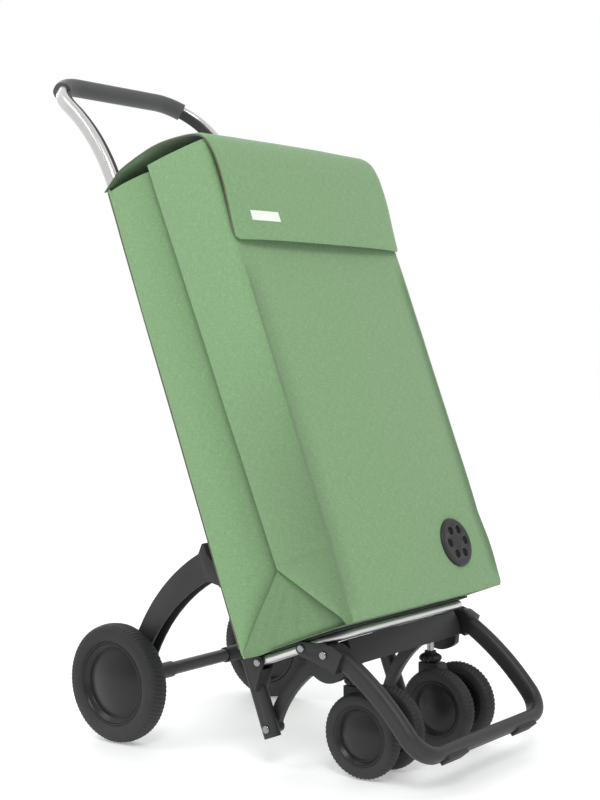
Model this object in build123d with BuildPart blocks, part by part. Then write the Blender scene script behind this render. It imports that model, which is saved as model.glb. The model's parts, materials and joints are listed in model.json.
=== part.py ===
"""A four-wheeled folding shopping trolley with a fabric bag, in millimetres.

X runs to the right as seen from the front, +Y to the back (the handle side) and +Z up.
The frame and the bag lean back together. Most pieces are therefore laid out in the leaning
frame: "back" and "up" are measured from the foot, the bag's lower back edge, square to the
bag's back and along it. The floor is z = 0, and the origin is the middle of the space that
the trolley stands over.
"""

import os
from math import asin, atan2, cos, degrees, radians, sin

from build123d import *

# ---- driving dimensions -------------------------------------------------------------
LEAN = 20.6  # lean of the bag and the uprights from vertical, degrees
FOOT_HEIGHT = 145.4  # the bag's lower back edge above the floor

BAG_WIDTH = 367.0
BAG_DEPTH = 190.0
BAG_HEIGHT = 658.0  # at the back
BAG_FRONT_DROP = 8.0  # how far the rim falls from back to front
BAG_WALL = 3.0
BAG_EDGE_ROUND = 9.0

TUBE_DEEP = 20.0  # the flat oval aluminium tube
TUBE_THICK = 12.0
TUBE_WALL = 1.5
UPRIGHT_X = 147.0  # middle of each upright, from the trolley's middle
UPRIGHT_BACK = 14.0  # middle of each upright, behind the bag
UPRIGHT_FOOT = -82.0  # lower end of the aluminium, inside the leg
HANDLE_BEND_RISE = 14.0  # above the rim, where the uprights start to curve back
HANDLE_BEND_RADIUS = 300.0
HANDLE_BEND = 30.0  # degrees
HANDLE_CORNER = 63.0  # radius of the two corners beside the grip
CORNER_BARE = 45.0  # how far the aluminium shows round each corner, degrees
GRIP_DEEP = 27.0
GRIP_THICK = 24.0
STRIP_THICK = 6.0  # plastic strip on the inner side of each upright
STRIP_DROP = 12.0  # how far below the rim the strips start

LEG_WALL = 2.5
LEG_FOOT = -106.0
LEG_TOP = 1.0
PIN_R = 4.0
RUNNING_GAP = 0.05  # on the radius, where a part turns on a pin
SIDE_GAP = 0.4  # between faces of parts that move past each other
LUG_WALL = 3.0
LUG_R = 8.6
BOSS_R = 8.6
HEAD_R = 5.5
HEAD_HIGH = 2.6

RAIL_X = 152.0  # middle of the platform's side rails
RAIL_REAR = -3.0  # back coordinate of the rails' rear ends
PLATFORM_REACH = 138.0  # middle of the platform's front bar, ahead of the foot
PLATFORM_CORNER = 35.0
PLATFORM_PIVOT_AHEAD = 12.0
BOARD_THICK = 2.7
BOARD_GAP = 0.3  # between the board and the bag
BOARD_REAR = 26.0

RAIL_SCREW_AHEAD = 88.0
HOOK_SCREW = (119.0, -26.0)  # ahead of the foot, up
BRACKET_SKIN = 3.0

BEAM_SIDE_GAP = 0.6  # between the beam and a brace
BEAM_FRONT = 134.0
BEAM_DEEP = 52.0
BEAM_FOOT = -49.0
BEAM_WALL = 4.0
BEAM_RIBS = 4

HOOP_X = 150.0
HOOP_DEEP = 26.0
HOOP_THICK = 18.0
HOOP_RADIUS = 365.0
HOOP_CENTRE = (-151.0, -263.8)  # ahead of the foot, up
HOOP_START = 41.0  # degrees on that circle
HOOP_END = 18.5
HOOP_CORNER = 35.0
PAD_X = 86.0
PAD_LONG = 46.0
PAD_THICK = 5.5

BRACE_THICK = 11.0
BRACE_RADIUS = 158.0
BRACE_DEEP = 16.0
BRACE_CENTRE = (105.7, -190.4)  # ahead of the foot, up
BRACE_PIVOT = (-14.0, -94.0)
BRACE_TOP = 104.0  # degrees on that circle where the hook starts

ARM_PIVOT_UP = 107.6
ARM_CENTRE = (16.0, -129.0)  # back, up
ARM_RADIUS = 265.0
ARM_ROOT_HALF = 20.0  # half the arm's depth at the upright
ARM_TIP_HALF = 13.0  # half the arm's depth at the axle
ARM_OUTER_X = 149.0
ARM_THICK = 24.0
ARM_WALL = 3.0
ARM_SOLID_END = 24.0  # how far the arm is solid at each end
ARM_FOLD = 45.0  # degrees the rear arms fold, which the clearance cut follows
TONGUE_TOP = 163.0

REAR_WHEEL_R = 83.0
REAR_WHEEL_WIDE = 34.0
REAR_WHEEL_X = 168.0  # middle of each rear wheel
REAR_AXLE_BACK = 236.0  # level distance from the foot back to the axle
AXLE_TUBE_R = 9.5
AXLE_SLEEVE_R = 11.5
AXLE_SLEEVE_X = 60.0
AXLE_R = 5.0

CASTER_X = 88.0
CASTER_AHEAD = 116.0  # level distance from the foot forward to the stems
CASTER_TRAIL = 29.0
CASTER_WHEEL_R = 55.2
CASTER_WHEEL_WIDE = 22.0
CASTER_WHEEL_GAP = 53.8  # between the middles of the twin wheels
STEM_R = 5.0
STEM_TOP = 164.0
SOCKET_FOOT = 140.0
COLLAR_R = 15.0
COLLAR_FOOT = 111.0
COLLAR_TOP = 123.0

FLAP_FALL = 140.0  # how far the flap hangs down the front
FLAP_ARCH = 22.0
FLAP_THICK = 3.0
FLAP_GAP = 2.0
FLAP_BULGE = 7.0
VENT_X = 93.0
VENT_UP = 71.0
VENT_R = 34.0
VENT_THICK = 6.0

# ---- worked out from them -----------------------------------------------------------
SIDES = {"left": -1, "right": 1}
LEAN_COS = cos(radians(LEAN))
LEAN_SIN = sin(radians(LEAN))
LEG_DEEP = TUBE_DEEP + 2 * LEG_WALL
LEG_THICK = TUBE_THICK + 2 * LEG_WALL
BAG_FRONT_HEIGHT = BAG_HEIGHT - BAG_FRONT_DROP
HANDLE_BEND_UP = BAG_HEIGHT + HANDLE_BEND_RISE
STRIP_FOOT = BAG_HEIGHT - STRIP_DROP
RAIL_UP = -(BOARD_GAP + BOARD_THICK + TUBE_THICK / 2)  # middle of the platform's rails
BRACKET_SCREWS = ((RAIL_SCREW_AHEAD, RAIL_UP), HOOK_SCREW)
BRACE_OUT_X = UPRIGHT_X - LEG_THICK / 2 - SIDE_GAP  # a brace's face against its leg
BEAM_HALF = BRACE_OUT_X - BRACE_THICK - BEAM_SIDE_GAP
RAIL_FOOT = RAIL_UP - TUBE_THICK / 2

HANDLE_BEND_SIN = sin(radians(HANDLE_BEND))
HANDLE_BEND_COS = cos(radians(HANDLE_BEND))
HANDLE_ARC_BACK = UPRIGHT_BACK + HANDLE_BEND_RADIUS * (1 - HANDLE_BEND_COS)
HANDLE_ARC_UP = HANDLE_BEND_UP + HANDLE_BEND_RADIUS * HANDLE_BEND_SIN
GRIP_BACK = HANDLE_ARC_BACK + HANDLE_CORNER * HANDLE_BEND_SIN
GRIP_UP = HANDLE_ARC_UP + HANDLE_CORNER * HANDLE_BEND_COS

HOOP_END_COS = cos(radians(HOOP_END))
HOOP_END_SIN = sin(radians(HOOP_END))
HOOP_ARC_AHEAD = HOOP_CENTRE[0] + HOOP_RADIUS * HOOP_END_COS
HOOP_ARC_UP = HOOP_CENTRE[1] + HOOP_RADIUS * HOOP_END_SIN
HOOP_BAR_AHEAD = HOOP_ARC_AHEAD + HOOP_CORNER * HOOP_END_SIN
HOOP_BAR_UP = HOOP_ARC_UP - HOOP_CORNER * HOOP_END_COS

# the foot's place puts the middle of the whole trolley over the origin
REACH_BACK = GRIP_BACK * LEAN_COS + GRIP_UP * LEAN_SIN + GRIP_THICK / 2
REACH_AHEAD = HOOP_BAR_AHEAD * LEAN_COS - HOOP_BAR_UP * LEAN_SIN + HOOP_DEEP / 2
FOOT_Y = (REACH_AHEAD - REACH_BACK) / 2

REAR_AXLE_Y = FOOT_Y + REAR_AXLE_BACK
CASTER_Y = FOOT_Y - CASTER_AHEAD
CASTER_AXLE_Y = CASTER_Y - CASTER_TRAIL


def at(x, back, up):
    """A point of the leaning frame."""
    y = FOOT_Y + back * LEAN_COS + up * LEAN_SIN
    return Vector(x, y, FOOT_HEIGHT - back * LEAN_SIN + up * LEAN_COS)


BACKWARD = Vector(0, LEAN_COS, -LEAN_SIN)
UPWARD = Vector(0, LEAN_SIN, LEAN_COS)
ACROSS = Vector(1, 0, 0)


def side_plane(x):
    """Seen from the right: local x is back and local y is up, in the leaning frame."""
    return Plane(origin=at(x, 0, 0), x_dir=BACKWARD, z_dir=ACROSS)


def level_plane(up):
    """Square to the bag: local x is across and local y is back."""
    return Plane(origin=at(0, 0, up), x_dir=ACROSS, z_dir=UPWARD)


def wheel_plane(x, y, z):
    """Holds a wheel's axis: local x is across and local y is the radius."""
    return Plane(origin=(x, y, z), x_dir=ACROSS, z_dir=(0, -1, 0))


def leaning_offset(y, z):
    """Back and up, in the leaning frame, of a point given level with the floor."""
    level, high = y - FOOT_Y, z - FOOT_HEIGHT
    return level * LEAN_COS - high * LEAN_SIN, level * LEAN_SIN + high * LEAN_COS


AXLE_BACK, AXLE_UP = leaning_offset(REAR_AXLE_Y, REAR_WHEEL_R)


def on_circle(centre, radius, angle):
    """A point on a circle of a side profile."""
    return (
        centre[0] + radius * cos(radians(angle)),
        centre[1] + radius * sin(radians(angle)),
    )


def save(part, name):
    """Label a finished piece and write it."""
    part.part.label = name
    export_step(part.part, f"parts/{name}.step")


def crosswise_pins(places):
    """Headed pins along X; a place is the head's seat, (back, up), shaft length and side."""
    with BuildPart() as pins:
        for seat_x, (back, up), length, side in places:
            with BuildSketch(side_plane(seat_x)):
                with Locations((back, up)):
                    Circle(PIN_R)
            extrude(amount=-side * length)
            with BuildSketch(side_plane(seat_x)):
                with Locations((back, up)):
                    Circle(HEAD_R)
            head = extrude(amount=side * HEAD_HIGH, mode=Mode.PRIVATE)
            outer = head.faces().sort_by(Axis.X)[-1 if side > 0 else 0]
            add(head.fillet(HEAD_HIGH * 0.8, outer.edges()))
    return pins


os.makedirs("parts", exist_ok=True)

# ---- uprights, grip and strips ------------------------------------------------------


def corner_point(side, turn):
    """The tube's middle after it has turned by so many degrees round a handle corner."""
    run = HANDLE_CORNER * sin(radians(turn))
    inward = HANDLE_CORNER * (1 - cos(radians(turn)))
    x = side * (UPRIGHT_X - inward)
    return at(x, HANDLE_ARC_BACK + run * HANDLE_BEND_SIN, HANDLE_ARC_UP + run * HANDLE_BEND_COS)


def upright_path(side, foot):
    """From the foot, straight up, curving back and part of the way round the corner."""
    x = side * UPRIGHT_X
    half = radians(HANDLE_BEND / 2)
    mid_back = UPRIGHT_BACK + HANDLE_BEND_RADIUS * (1 - cos(half))
    mid_up = HANDLE_BEND_UP + HANDLE_BEND_RADIUS * sin(half)
    with BuildLine() as path:
        Line(at(x, UPRIGHT_BACK, foot), at(x, UPRIGHT_BACK, HANDLE_BEND_UP))
        ThreePointArc(
            at(x, UPRIGHT_BACK, HANDLE_BEND_UP),
            at(x, mid_back, mid_up),
            at(x, HANDLE_ARC_BACK, HANDLE_ARC_UP),
        )
        ThreePointArc(
            at(x, HANDLE_ARC_BACK, HANDLE_ARC_UP),
            corner_point(side, CORNER_BARE / 2),
            corner_point(side, CORNER_BARE),
        )
    return path.wires()[0]


def foot_plane(side, foot):
    """Across the foot of an upright's path, its local x running back."""
    origin = at(side * UPRIGHT_X, UPRIGHT_BACK, foot)
    return Plane(origin=origin, x_dir=BACKWARD, z_dir=UPWARD)


for name, side in SIDES.items():
    with BuildPart() as upright:
        with BuildSketch(foot_plane(side, UPRIGHT_FOOT)):
            SlotOverall(TUBE_DEEP, TUBE_THICK)
            SlotOverall(TUBE_DEEP - 2 * TUBE_WALL, TUBE_THICK - 2 * TUBE_WALL, mode=Mode.SUBTRACT)
        sweep(path=upright_path(side, UPRIGHT_FOOT))
        with BuildSketch(side_plane(side * (UPRIGHT_X + TUBE_THICK))):
            with Locations((UPRIGHT_BACK, ARM_PIVOT_UP)):
                Circle(PIN_R)
        extrude(amount=-side * 2 * TUBE_THICK, mode=Mode.SUBTRACT)
    save(upright, f"{name}_upright")

    strip_middle = TUBE_THICK / 2 + STRIP_THICK / 2
    with BuildPart() as strip:
        with BuildSketch(foot_plane(side, STRIP_FOOT)):
            # local y runs towards -X
            with Locations((0, side * strip_middle)):
                Rectangle(TUBE_DEEP - TUBE_THICK / 2, STRIP_THICK)
            SlotOverall(TUBE_DEEP, TUBE_THICK, mode=Mode.SUBTRACT)
        sweep(path=upright_path(side, STRIP_FOOT))
    save(strip, f"{name}_grip_strip")

with BuildPart() as grip:
    with BuildLine() as grip_path:
        ThreePointArc(
            corner_point(-1, CORNER_BARE),
            corner_point(-1, (CORNER_BARE + 90) / 2),
            corner_point(-1, 90),
        )
        Line(corner_point(-1, 90), corner_point(1, 90))
        ThreePointArc(
            corner_point(1, 90),
            corner_point(1, (CORNER_BARE + 90) / 2),
            corner_point(1, CORNER_BARE),
        )
    grip_wire = grip_path.wires()[0]
    normal = BACKWARD * HANDLE_BEND_COS - UPWARD * HANDLE_BEND_SIN
    with BuildSketch(Plane(origin=grip_wire @ 0, x_dir=normal, z_dir=grip_wire % 0)):
        SlotOverall(GRIP_DEEP, GRIP_THICK)
    sweep(path=grip_wire)
save(grip, "handle_grip")

# ---- legs and their pins --------------------------------------------------------------

PIVOT = (-PLATFORM_PIVOT_AHEAD, RAIL_UP)
RAIL_OUT = TUBE_DEEP / 2 + SIDE_GAP  # the lug's inner faces, either side of the rail
LUG_OUT = RAIL_OUT + LUG_WALL
# the rail's rear corners swing round the pivot within this radius
RAIL_SWING = ((RAIL_REAR + PLATFORM_PIVOT_AHEAD) ** 2 + (TUBE_THICK / 2) ** 2) ** 0.5 + SIDE_GAP
FOOT_PIVOT = (-BRACE_PIVOT[0], BRACE_PIVOT[1])

for name, side in SIDES.items():
    leg_x = side * UPRIGHT_X
    with BuildPart() as leg:
        with BuildSketch(Plane(origin=at(leg_x, UPRIGHT_BACK, LEG_FOOT), x_dir=BACKWARD, z_dir=UPWARD)):
            SlotOverall(LEG_DEEP, LEG_THICK)
        extrude(amount=LEG_TOP - LEG_FOOT)
        # the lug that holds the platform's rail
        with BuildSketch(side_plane(side * (RAIL_X + LUG_OUT))):
            with Locations(PIVOT):
                Circle(LUG_R)
            with BuildLine():
                Polyline(
                    (PIVOT[0], PIVOT[1] + LUG_R),
                    (UPRIGHT_BACK - LEG_DEEP / 2 + 5, LEG_TOP - 2),
                    (UPRIGHT_BACK - LEG_DEEP / 2 + 5, -44),
                    (PIVOT[0] - LUG_R * 0.8, PIVOT[1] - LUG_R * 0.6),
                    close=True,
                )
            make_face()
        extrude(amount=-side * 2 * LUG_OUT)
        with BuildSketch(level_plane(RAIL_UP + LUG_R + 1)):
            with Locations((side * RAIL_X, PIVOT[0])):
                Rectangle(2 * RAIL_OUT, 2 * RAIL_SWING)
        extrude(amount=-(LUG_R + 1 + RAIL_SWING), mode=Mode.SUBTRACT)
        with BuildSketch(Plane(origin=at(leg_x, UPRIGHT_BACK, UPRIGHT_FOOT), x_dir=BACKWARD, z_dir=UPWARD)):
            SlotOverall(TUBE_DEEP, TUBE_THICK)
        extrude(amount=LEG_TOP - UPRIGHT_FOOT, mode=Mode.SUBTRACT)
        with BuildSketch(side_plane(side * (RAIL_X + LUG_OUT))):
            with Locations(PIVOT, FOOT_PIVOT):
                Circle(PIN_R)
        extrude(amount=-side * 60, mode=Mode.SUBTRACT)
    save(leg, f"{name}_leg")

CHEEK_WALL = 3.2
CHEEK_OUT_X = UPRIGHT_X + TUBE_THICK / 2 + SIDE_GAP + CHEEK_WALL
LEG_FACE_X = UPRIGHT_X + LEG_THICK / 2
FOOT_PIN_LONG = LEG_FACE_X - BRACE_OUT_X + BRACE_THICK
ARM_PIN_LONG = 2 * (CHEEK_OUT_X - UPRIGHT_X)
ARM_PIVOT = (UPRIGHT_BACK, ARM_PIVOT_UP)
PIN_PLACES = {
    "platform_pivot_pins": (RAIL_X + LUG_OUT, PIVOT, 2 * LUG_OUT),
    "brace_pivot_pins": (LEG_FACE_X, FOOT_PIVOT, FOOT_PIN_LONG),
    "rear_arm_pivot_pins": (CHEEK_OUT_X, ARM_PIVOT, ARM_PIN_LONG),
}
for name, (seat, pivot, long) in PIN_PLACES.items():
    save(crosswise_pins([(side * seat, pivot, long, side) for side in SIDES.values()]), name)

# ---- rods between the uprights, and the hooks that carry the bag ------------------------

ROD_R = 5.0
ROD_UPS = {"upper_cross_rod": BAG_HEIGHT - 26, "lower_cross_rod": 30.0}
for name, up in ROD_UPS.items():
    with BuildPart() as rod:
        reach = UPRIGHT_X - TUBE_THICK / 2
        with BuildSketch(side_plane(-reach)):
            with Locations((UPRIGHT_BACK, up)):
                Circle(ROD_R)
        extrude(amount=2 * reach)
    save(rod, name)

HOOK_WIDE = 16.0
HOOK_UP = BAG_HEIGHT - 26
HOOK_X = 112.0
with BuildPart() as hooks:
    for side in SIDES.values():
        with BuildSketch(side_plane(side * HOOK_X - HOOK_WIDE / 2)):
            with Locations((UPRIGHT_BACK, HOOK_UP)):
                Circle(ROD_R + 3)
            with BuildLine():
                Polyline(
                    (UPRIGHT_BACK - 4, HOOK_UP),
                    (UPRIGHT_BACK + 4, HOOK_UP),
                    (UPRIGHT_BACK + 4, BAG_HEIGHT - 2),
                    (SIDE_GAP, BAG_HEIGHT - 2),
                    (SIDE_GAP, BAG_HEIGHT - 14),
                    (UPRIGHT_BACK - 4, BAG_HEIGHT - 14),
                    close=True,
                )
            make_face()
            with Locations((UPRIGHT_BACK, HOOK_UP)):
                Circle(ROD_R, mode=Mode.SUBTRACT)
        extrude(amount=HOOK_WIDE)
save(hooks, "bag_hooks")

# ---- rear arms, axle and wheels ---------------------------------------------------------

ARM_ROOT = 90 - degrees(asin((TUBE_DEEP / 2 + SIDE_GAP + 1.6) / ARM_RADIUS))
ARM_TIP = degrees(atan2(AXLE_UP - ARM_CENTRE[1], AXLE_BACK - ARM_CENTRE[0]))
ARM_MID = (ARM_ROOT + ARM_TIP) / 2
ARM_MID_HALF = (ARM_ROOT_HALF + ARM_TIP_HALF) / 2


def arm_arcs(skin, end):
    """Each long side of the arm as start, middle and end, drawn in by a skin and at its ends."""
    root = ARM_ROOT - degrees(end / ARM_RADIUS)
    tip = ARM_TIP + degrees(end / ARM_RADIUS)
    outer = (
        on_circle(ARM_CENTRE, ARM_RADIUS + ARM_ROOT_HALF - skin, root),
        on_circle(ARM_CENTRE, ARM_RADIUS + ARM_MID_HALF - skin, ARM_MID),
        on_circle(ARM_CENTRE, ARM_RADIUS + ARM_TIP_HALF - skin, tip),
    )
    inner = (
        on_circle(ARM_CENTRE, ARM_RADIUS - ARM_TIP_HALF, tip),
        on_circle(ARM_CENTRE, ARM_RADIUS - ARM_MID_HALF, ARM_MID),
        on_circle(ARM_CENTRE, ARM_RADIUS - ARM_ROOT_HALF, root),
    )
    return outer, inner


for name, side in SIDES.items():
    outer_arc, inner_arc = arm_arcs(0, 0)
    pocket_arc, _ = arm_arcs(ARM_WALL, ARM_SOLID_END)
    pocket_mouth = [
        on_circle(ARM_CENTRE, ARM_RADIUS - 2 * ARM_ROOT_HALF, angle)
        for angle in (ARM_TIP + 6, ARM_MID, ARM_ROOT - 6)
    ]
    arm_face = side_plane(side * ARM_OUTER_X)
    cheek_face = side_plane(side * CHEEK_OUT_X)
    with BuildPart() as arm:
        with BuildSketch(arm_face):
            with BuildLine():
                ThreePointArc(*outer_arc)
                Line(outer_arc[-1], inner_arc[0])
                ThreePointArc(*inner_arc)
                Line(inner_arc[-1], outer_arc[0])
            make_face()
            with Locations((AXLE_BACK, AXLE_UP)):
                Circle(ARM_TIP_HALF)
        extrude(amount=-side * ARM_THICK)
        # hollow, and open along its under side
        with BuildSketch(side_plane(side * (ARM_OUTER_X - ARM_WALL))):
            with BuildLine():
                ThreePointArc(*pocket_arc)
                Line(pocket_arc[-1], pocket_mouth[0])
                ThreePointArc(*pocket_mouth)
                Line(pocket_mouth[-1], pocket_arc[0])
            make_face()
        extrude(amount=-side * (ARM_THICK - 2 * ARM_WALL), mode=Mode.SUBTRACT)
        # the fork that holds the upright, with a tongue that bears on its back
        with BuildSketch(cheek_face):
            with Locations((UPRIGHT_BACK, ARM_PIVOT_UP)):
                Circle(11.5)
            with BuildLine():
                Polyline(
                    (UPRIGHT_BACK, ARM_PIVOT_UP + 11.5),
                    (UPRIGHT_BACK, ARM_PIVOT_UP - 11.5),
                    (outer_arc[0][0] + 14, inner_arc[-1][1] - 1),
                    (outer_arc[0][0] + 14, outer_arc[0][1] - 3),
                    (outer_arc[0][0] + 3.5, TONGUE_TOP),
                    (outer_arc[0][0], TONGUE_TOP),
                    (outer_arc[0][0], outer_arc[0][1] - 9),
                    close=True,
                )
            make_face()
        extrude(amount=-side * 2 * (CHEEK_OUT_X - UPRIGHT_X))
        with BuildSketch(side_plane(side * (UPRIGHT_X + TUBE_THICK / 2 + SIDE_GAP))):
            with Locations((UPRIGHT_BACK, ARM_PIVOT_UP)):
                with Locations((0, 30)):
                    Rectangle(TUBE_DEEP + 2 * SIDE_GAP, 120)
                with Locations(Rot(0, 0, ARM_FOLD)):
                    Rectangle(TUBE_DEEP + 2 * SIDE_GAP, 90)
                Circle(TUBE_DEEP / 2 + SIDE_GAP)
        extrude(amount=-side * (TUBE_THICK + 2 * SIDE_GAP), mode=Mode.SUBTRACT)
        # sleeve round the axle tube
        with BuildSketch(arm_face):
            with Locations((AXLE_BACK, AXLE_UP)):
                Circle(AXLE_SLEEVE_R)
        extrude(amount=-side * (ARM_OUTER_X - AXLE_SLEEVE_X))
        with BuildSketch(arm_face):
            with Locations((AXLE_BACK, AXLE_UP)):
                Circle(AXLE_TUBE_R)
        extrude(amount=-side * ARM_OUTER_X, mode=Mode.SUBTRACT)
        with BuildSketch(cheek_face):
            with Locations((UPRIGHT_BACK, ARM_PIVOT_UP)):
                Circle(PIN_R + RUNNING_GAP)
        extrude(amount=-side * 40, mode=Mode.SUBTRACT)
    save(arm, f"{name}_rear_arm")

with BuildPart() as axle_tube:
    with BuildSketch(Plane(origin=(-ARM_OUTER_X, REAR_AXLE_Y, REAR_WHEEL_R), x_dir=(0, 1, 0), z_dir=ACROSS)):
        Circle(AXLE_TUBE_R)
        Circle(AXLE_R, mode=Mode.SUBTRACT)
    extrude(amount=2 * ARM_OUTER_X)
save(axle_tube, "rear_axle_tube")

AXLE_REACH = REAR_WHEEL_X + REAR_WHEEL_WIDE / 2 - 6
with BuildPart() as axle_rod:
    with BuildSketch(Plane(origin=(-AXLE_REACH, REAR_AXLE_Y, REAR_WHEEL_R), x_dir=(0, 1, 0), z_dir=ACROSS)):
        Circle(AXLE_R)
    extrude(amount=2 * AXLE_REACH)
save(axle_rod, "rear_axle_rod")


def ring(plane, points):
    """A sketch outline turned about the wheel's axis; points are (outwards, radius)."""
    with BuildPart() as turned:
        with BuildSketch(plane):
            with BuildLine():
                Polyline(*points, close=True)
            make_face()
        revolve(axis=Axis(plane.origin, ACROSS))
    return turned


def make_tyre(x, y, radius, width, seat):
    """A foam tyre with rounded shoulders."""
    round_off = width * 0.36
    half = width / 2
    turn = round_off * (1 - cos(radians(45)))
    with BuildPart() as tyre:
        with BuildSketch(wheel_plane(x, y, radius)):
            with BuildLine():
                Line((-half, seat), (-half, radius - round_off))
                ThreePointArc(
                    (-half, radius - round_off),
                    (-half + turn, radius - turn),
                    (-half + round_off, radius),
                )
                Line((-half + round_off, radius), (half - round_off, radius))
                ThreePointArc(
                    (half - round_off, radius),
                    (half - turn, radius - turn),
                    (half, radius - round_off),
                )
                Line((half, radius - round_off), (half, seat))
                Line((half, seat), (-half, seat))
            make_face()
        revolve(axis=Axis((x, y, radius), ACROSS))
    return tyre


def make_hub(side, x, y, radius, width, seat, bore, dome):
    """A one-piece hub: rim, web and boss, with a domed outer face where dome is given."""
    half = width / 2 - 1.0
    boss = bore + 7
    points = [
        (-half, seat - 6),
        (-half, seat),
        (half, seat),
        (half, seat - 5),
        (half - 7, dome),
        (half - 12, dome),
        (half - 12, bore),
        (-half, bore),
        (-half, boss),
        (half - 18, boss + 2),
        (half - 18, seat - 8),
    ]
    return ring(wheel_plane(x, y, radius), [(side * across, up) for across, up in points])


def make_cap(side, x, y, radius, width, dome):
    """A thin domed cap over the hub's outer face."""
    half = width / 2 - 1.0
    rise = 8.0
    thick = 2.2
    seat = half - 7.2
    sphere = (dome**2 + rise**2) / (2 * rise)
    inner = sphere - thick
    middle = seat + rise - sphere
    tilt = radians(45) * dome / sphere * 0.6
    inner_edge = (inner**2 - (seat - middle) ** 2) ** 0.5
    with BuildPart() as cap:
        with BuildSketch(wheel_plane(x, y, radius)):
            with BuildLine():
                ThreePointArc(
                    (side * seat, dome),
                    (side * (middle + sphere * cos(tilt)), sphere * sin(tilt)),
                    (side * (middle + sphere), 0),
                )
                Line((side * (middle + sphere), 0), (side * (middle + inner), 0))
                ThreePointArc(
                    (side * (middle + inner), 0),
                    (side * (middle + inner * cos(tilt)), inner * sin(tilt)),
                    (side * seat, inner_edge),
                )
                Line((side * seat, inner_edge), (side * seat, dome))
            make_face()
        revolve(axis=Axis((x, y, radius), ACROSS))
    return cap


for name, side in SIDES.items():
    x = side * REAR_WHEEL_X
    seat = REAR_WHEEL_R * 0.705
    dome = REAR_WHEEL_R * 0.57
    tyre = make_tyre(x, REAR_AXLE_Y, REAR_WHEEL_R, REAR_WHEEL_WIDE, seat)
    save(tyre, f"{name}_rear_tyre")
    hub = make_hub(side, x, REAR_AXLE_Y, REAR_WHEEL_R, REAR_WHEEL_WIDE, seat, AXLE_R + RUNNING_GAP, dome)
    save(hub, f"{name}_rear_hub")
    cap = make_cap(side, x, REAR_AXLE_Y, REAR_WHEEL_R, REAR_WHEEL_WIDE, dome)
    save(cap, f"{name}_rear_cap")

# ---- platform ---------------------------------------------------------------------------

with BuildPart() as platform:
    with BuildLine() as platform_path:
        FilletPolyline(
            at(-RAIL_X, RAIL_REAR, RAIL_UP),
            at(-RAIL_X, -PLATFORM_REACH, RAIL_UP),
            at(RAIL_X, -PLATFORM_REACH, RAIL_UP),
            at(RAIL_X, RAIL_REAR, RAIL_UP),
            radius=PLATFORM_CORNER,
        )
    with BuildSketch(Plane(origin=at(-RAIL_X, RAIL_REAR, RAIL_UP), x_dir=ACROSS, z_dir=-BACKWARD)):
        SlotOverall(TUBE_DEEP, TUBE_THICK)
        SlotOverall(TUBE_DEEP - 2 * TUBE_WALL, TUBE_THICK - 2 * TUBE_WALL, mode=Mode.SUBTRACT)
    sweep(path=platform_path.wires()[0])
    with BuildSketch(side_plane(RAIL_X + TUBE_DEEP)):
        with Locations(PIVOT):
            Circle(PIN_R + RUNNING_GAP)
    extrude(amount=-2 * (RAIL_X + TUBE_DEEP), mode=Mode.SUBTRACT)
    with BuildSketch(side_plane(RAIL_X + TUBE_DEEP)):
        with Locations((-BRACKET_SCREWS[0][0], BRACKET_SCREWS[0][1])):
            Circle(PIN_R)
    extrude(amount=-2 * (RAIL_X + TUBE_DEEP), mode=Mode.SUBTRACT)
save(platform, "platform_tube")

with BuildPart() as board:
    board_long = PLATFORM_REACH + TUBE_DEEP / 2 - 2 - BOARD_REAR
    with BuildSketch(level_plane(RAIL_UP + TUBE_THICK / 2)):
        with Locations((0, -(BOARD_REAR + board_long / 2))):
            RectangleRounded(2 * (RAIL_X + TUBE_DEEP / 2 - 2), board_long, 12)
    extrude(amount=BOARD_THICK)
save(board, "base_board")

# ---- hoop and its pads --------------------------------------------------------------------


def hoop_arm_point(angle):
    """Back and up, on the middle line of the hoop's arms."""
    ahead, up = on_circle(HOOP_CENTRE, HOOP_RADIUS, angle)
    return -ahead, up


def hoop_corner_point(side, turn):
    """The hoop's middle after it has turned by so many degrees round a corner."""
    run = HOOP_CORNER * sin(radians(turn))
    inward = HOOP_CORNER * (1 - cos(radians(turn)))
    ahead = HOOP_ARC_AHEAD + run * HOOP_END_SIN
    return at(side * (HOOP_X - inward), -ahead, HOOP_ARC_UP - run * HOOP_END_COS)


with BuildPart() as hoop:
    with BuildLine() as hoop_path:
        ThreePointArc(
            at(-HOOP_X, *hoop_arm_point(HOOP_START)),
            at(-HOOP_X, *hoop_arm_point((HOOP_START + HOOP_END) / 2)),
            at(-HOOP_X, *hoop_arm_point(HOOP_END)),
        )
        ThreePointArc(hoop_corner_point(-1, 0), hoop_corner_point(-1, 45), hoop_corner_point(-1, 90))
        Line(hoop_corner_point(-1, 90), hoop_corner_point(1, 90))
        ThreePointArc(hoop_corner_point(1, 90), hoop_corner_point(1, 45), hoop_corner_point(1, 0))
        ThreePointArc(
            at(HOOP_X, *hoop_arm_point(HOOP_END)),
            at(HOOP_X, *hoop_arm_point((HOOP_START + HOOP_END) / 2)),
            at(HOOP_X, *hoop_arm_point(HOOP_START)),
        )
    hoop_wire = hoop_path.wires()[0]
    hoop_normal = (UPWARD * sin(radians(HOOP_START)) - BACKWARD * cos(radians(HOOP_START)))
    with BuildSketch(Plane(origin=hoop_wire @ 0, x_dir=hoop_normal, z_dir=hoop_wire % 0)):
        SlotOverall(HOOP_DEEP, HOOP_THICK)
    sweep(path=hoop_wire)
    with BuildSketch(side_plane(HOOP_X + HOOP_THICK)):
        with Locations((-BRACKET_SCREWS[1][0], BRACKET_SCREWS[1][1])):
            Circle(PIN_R)
    extrude(amount=-2 * (HOOP_X + HOOP_THICK), mode=Mode.SUBTRACT)
save(hoop, "front_hoop")

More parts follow.
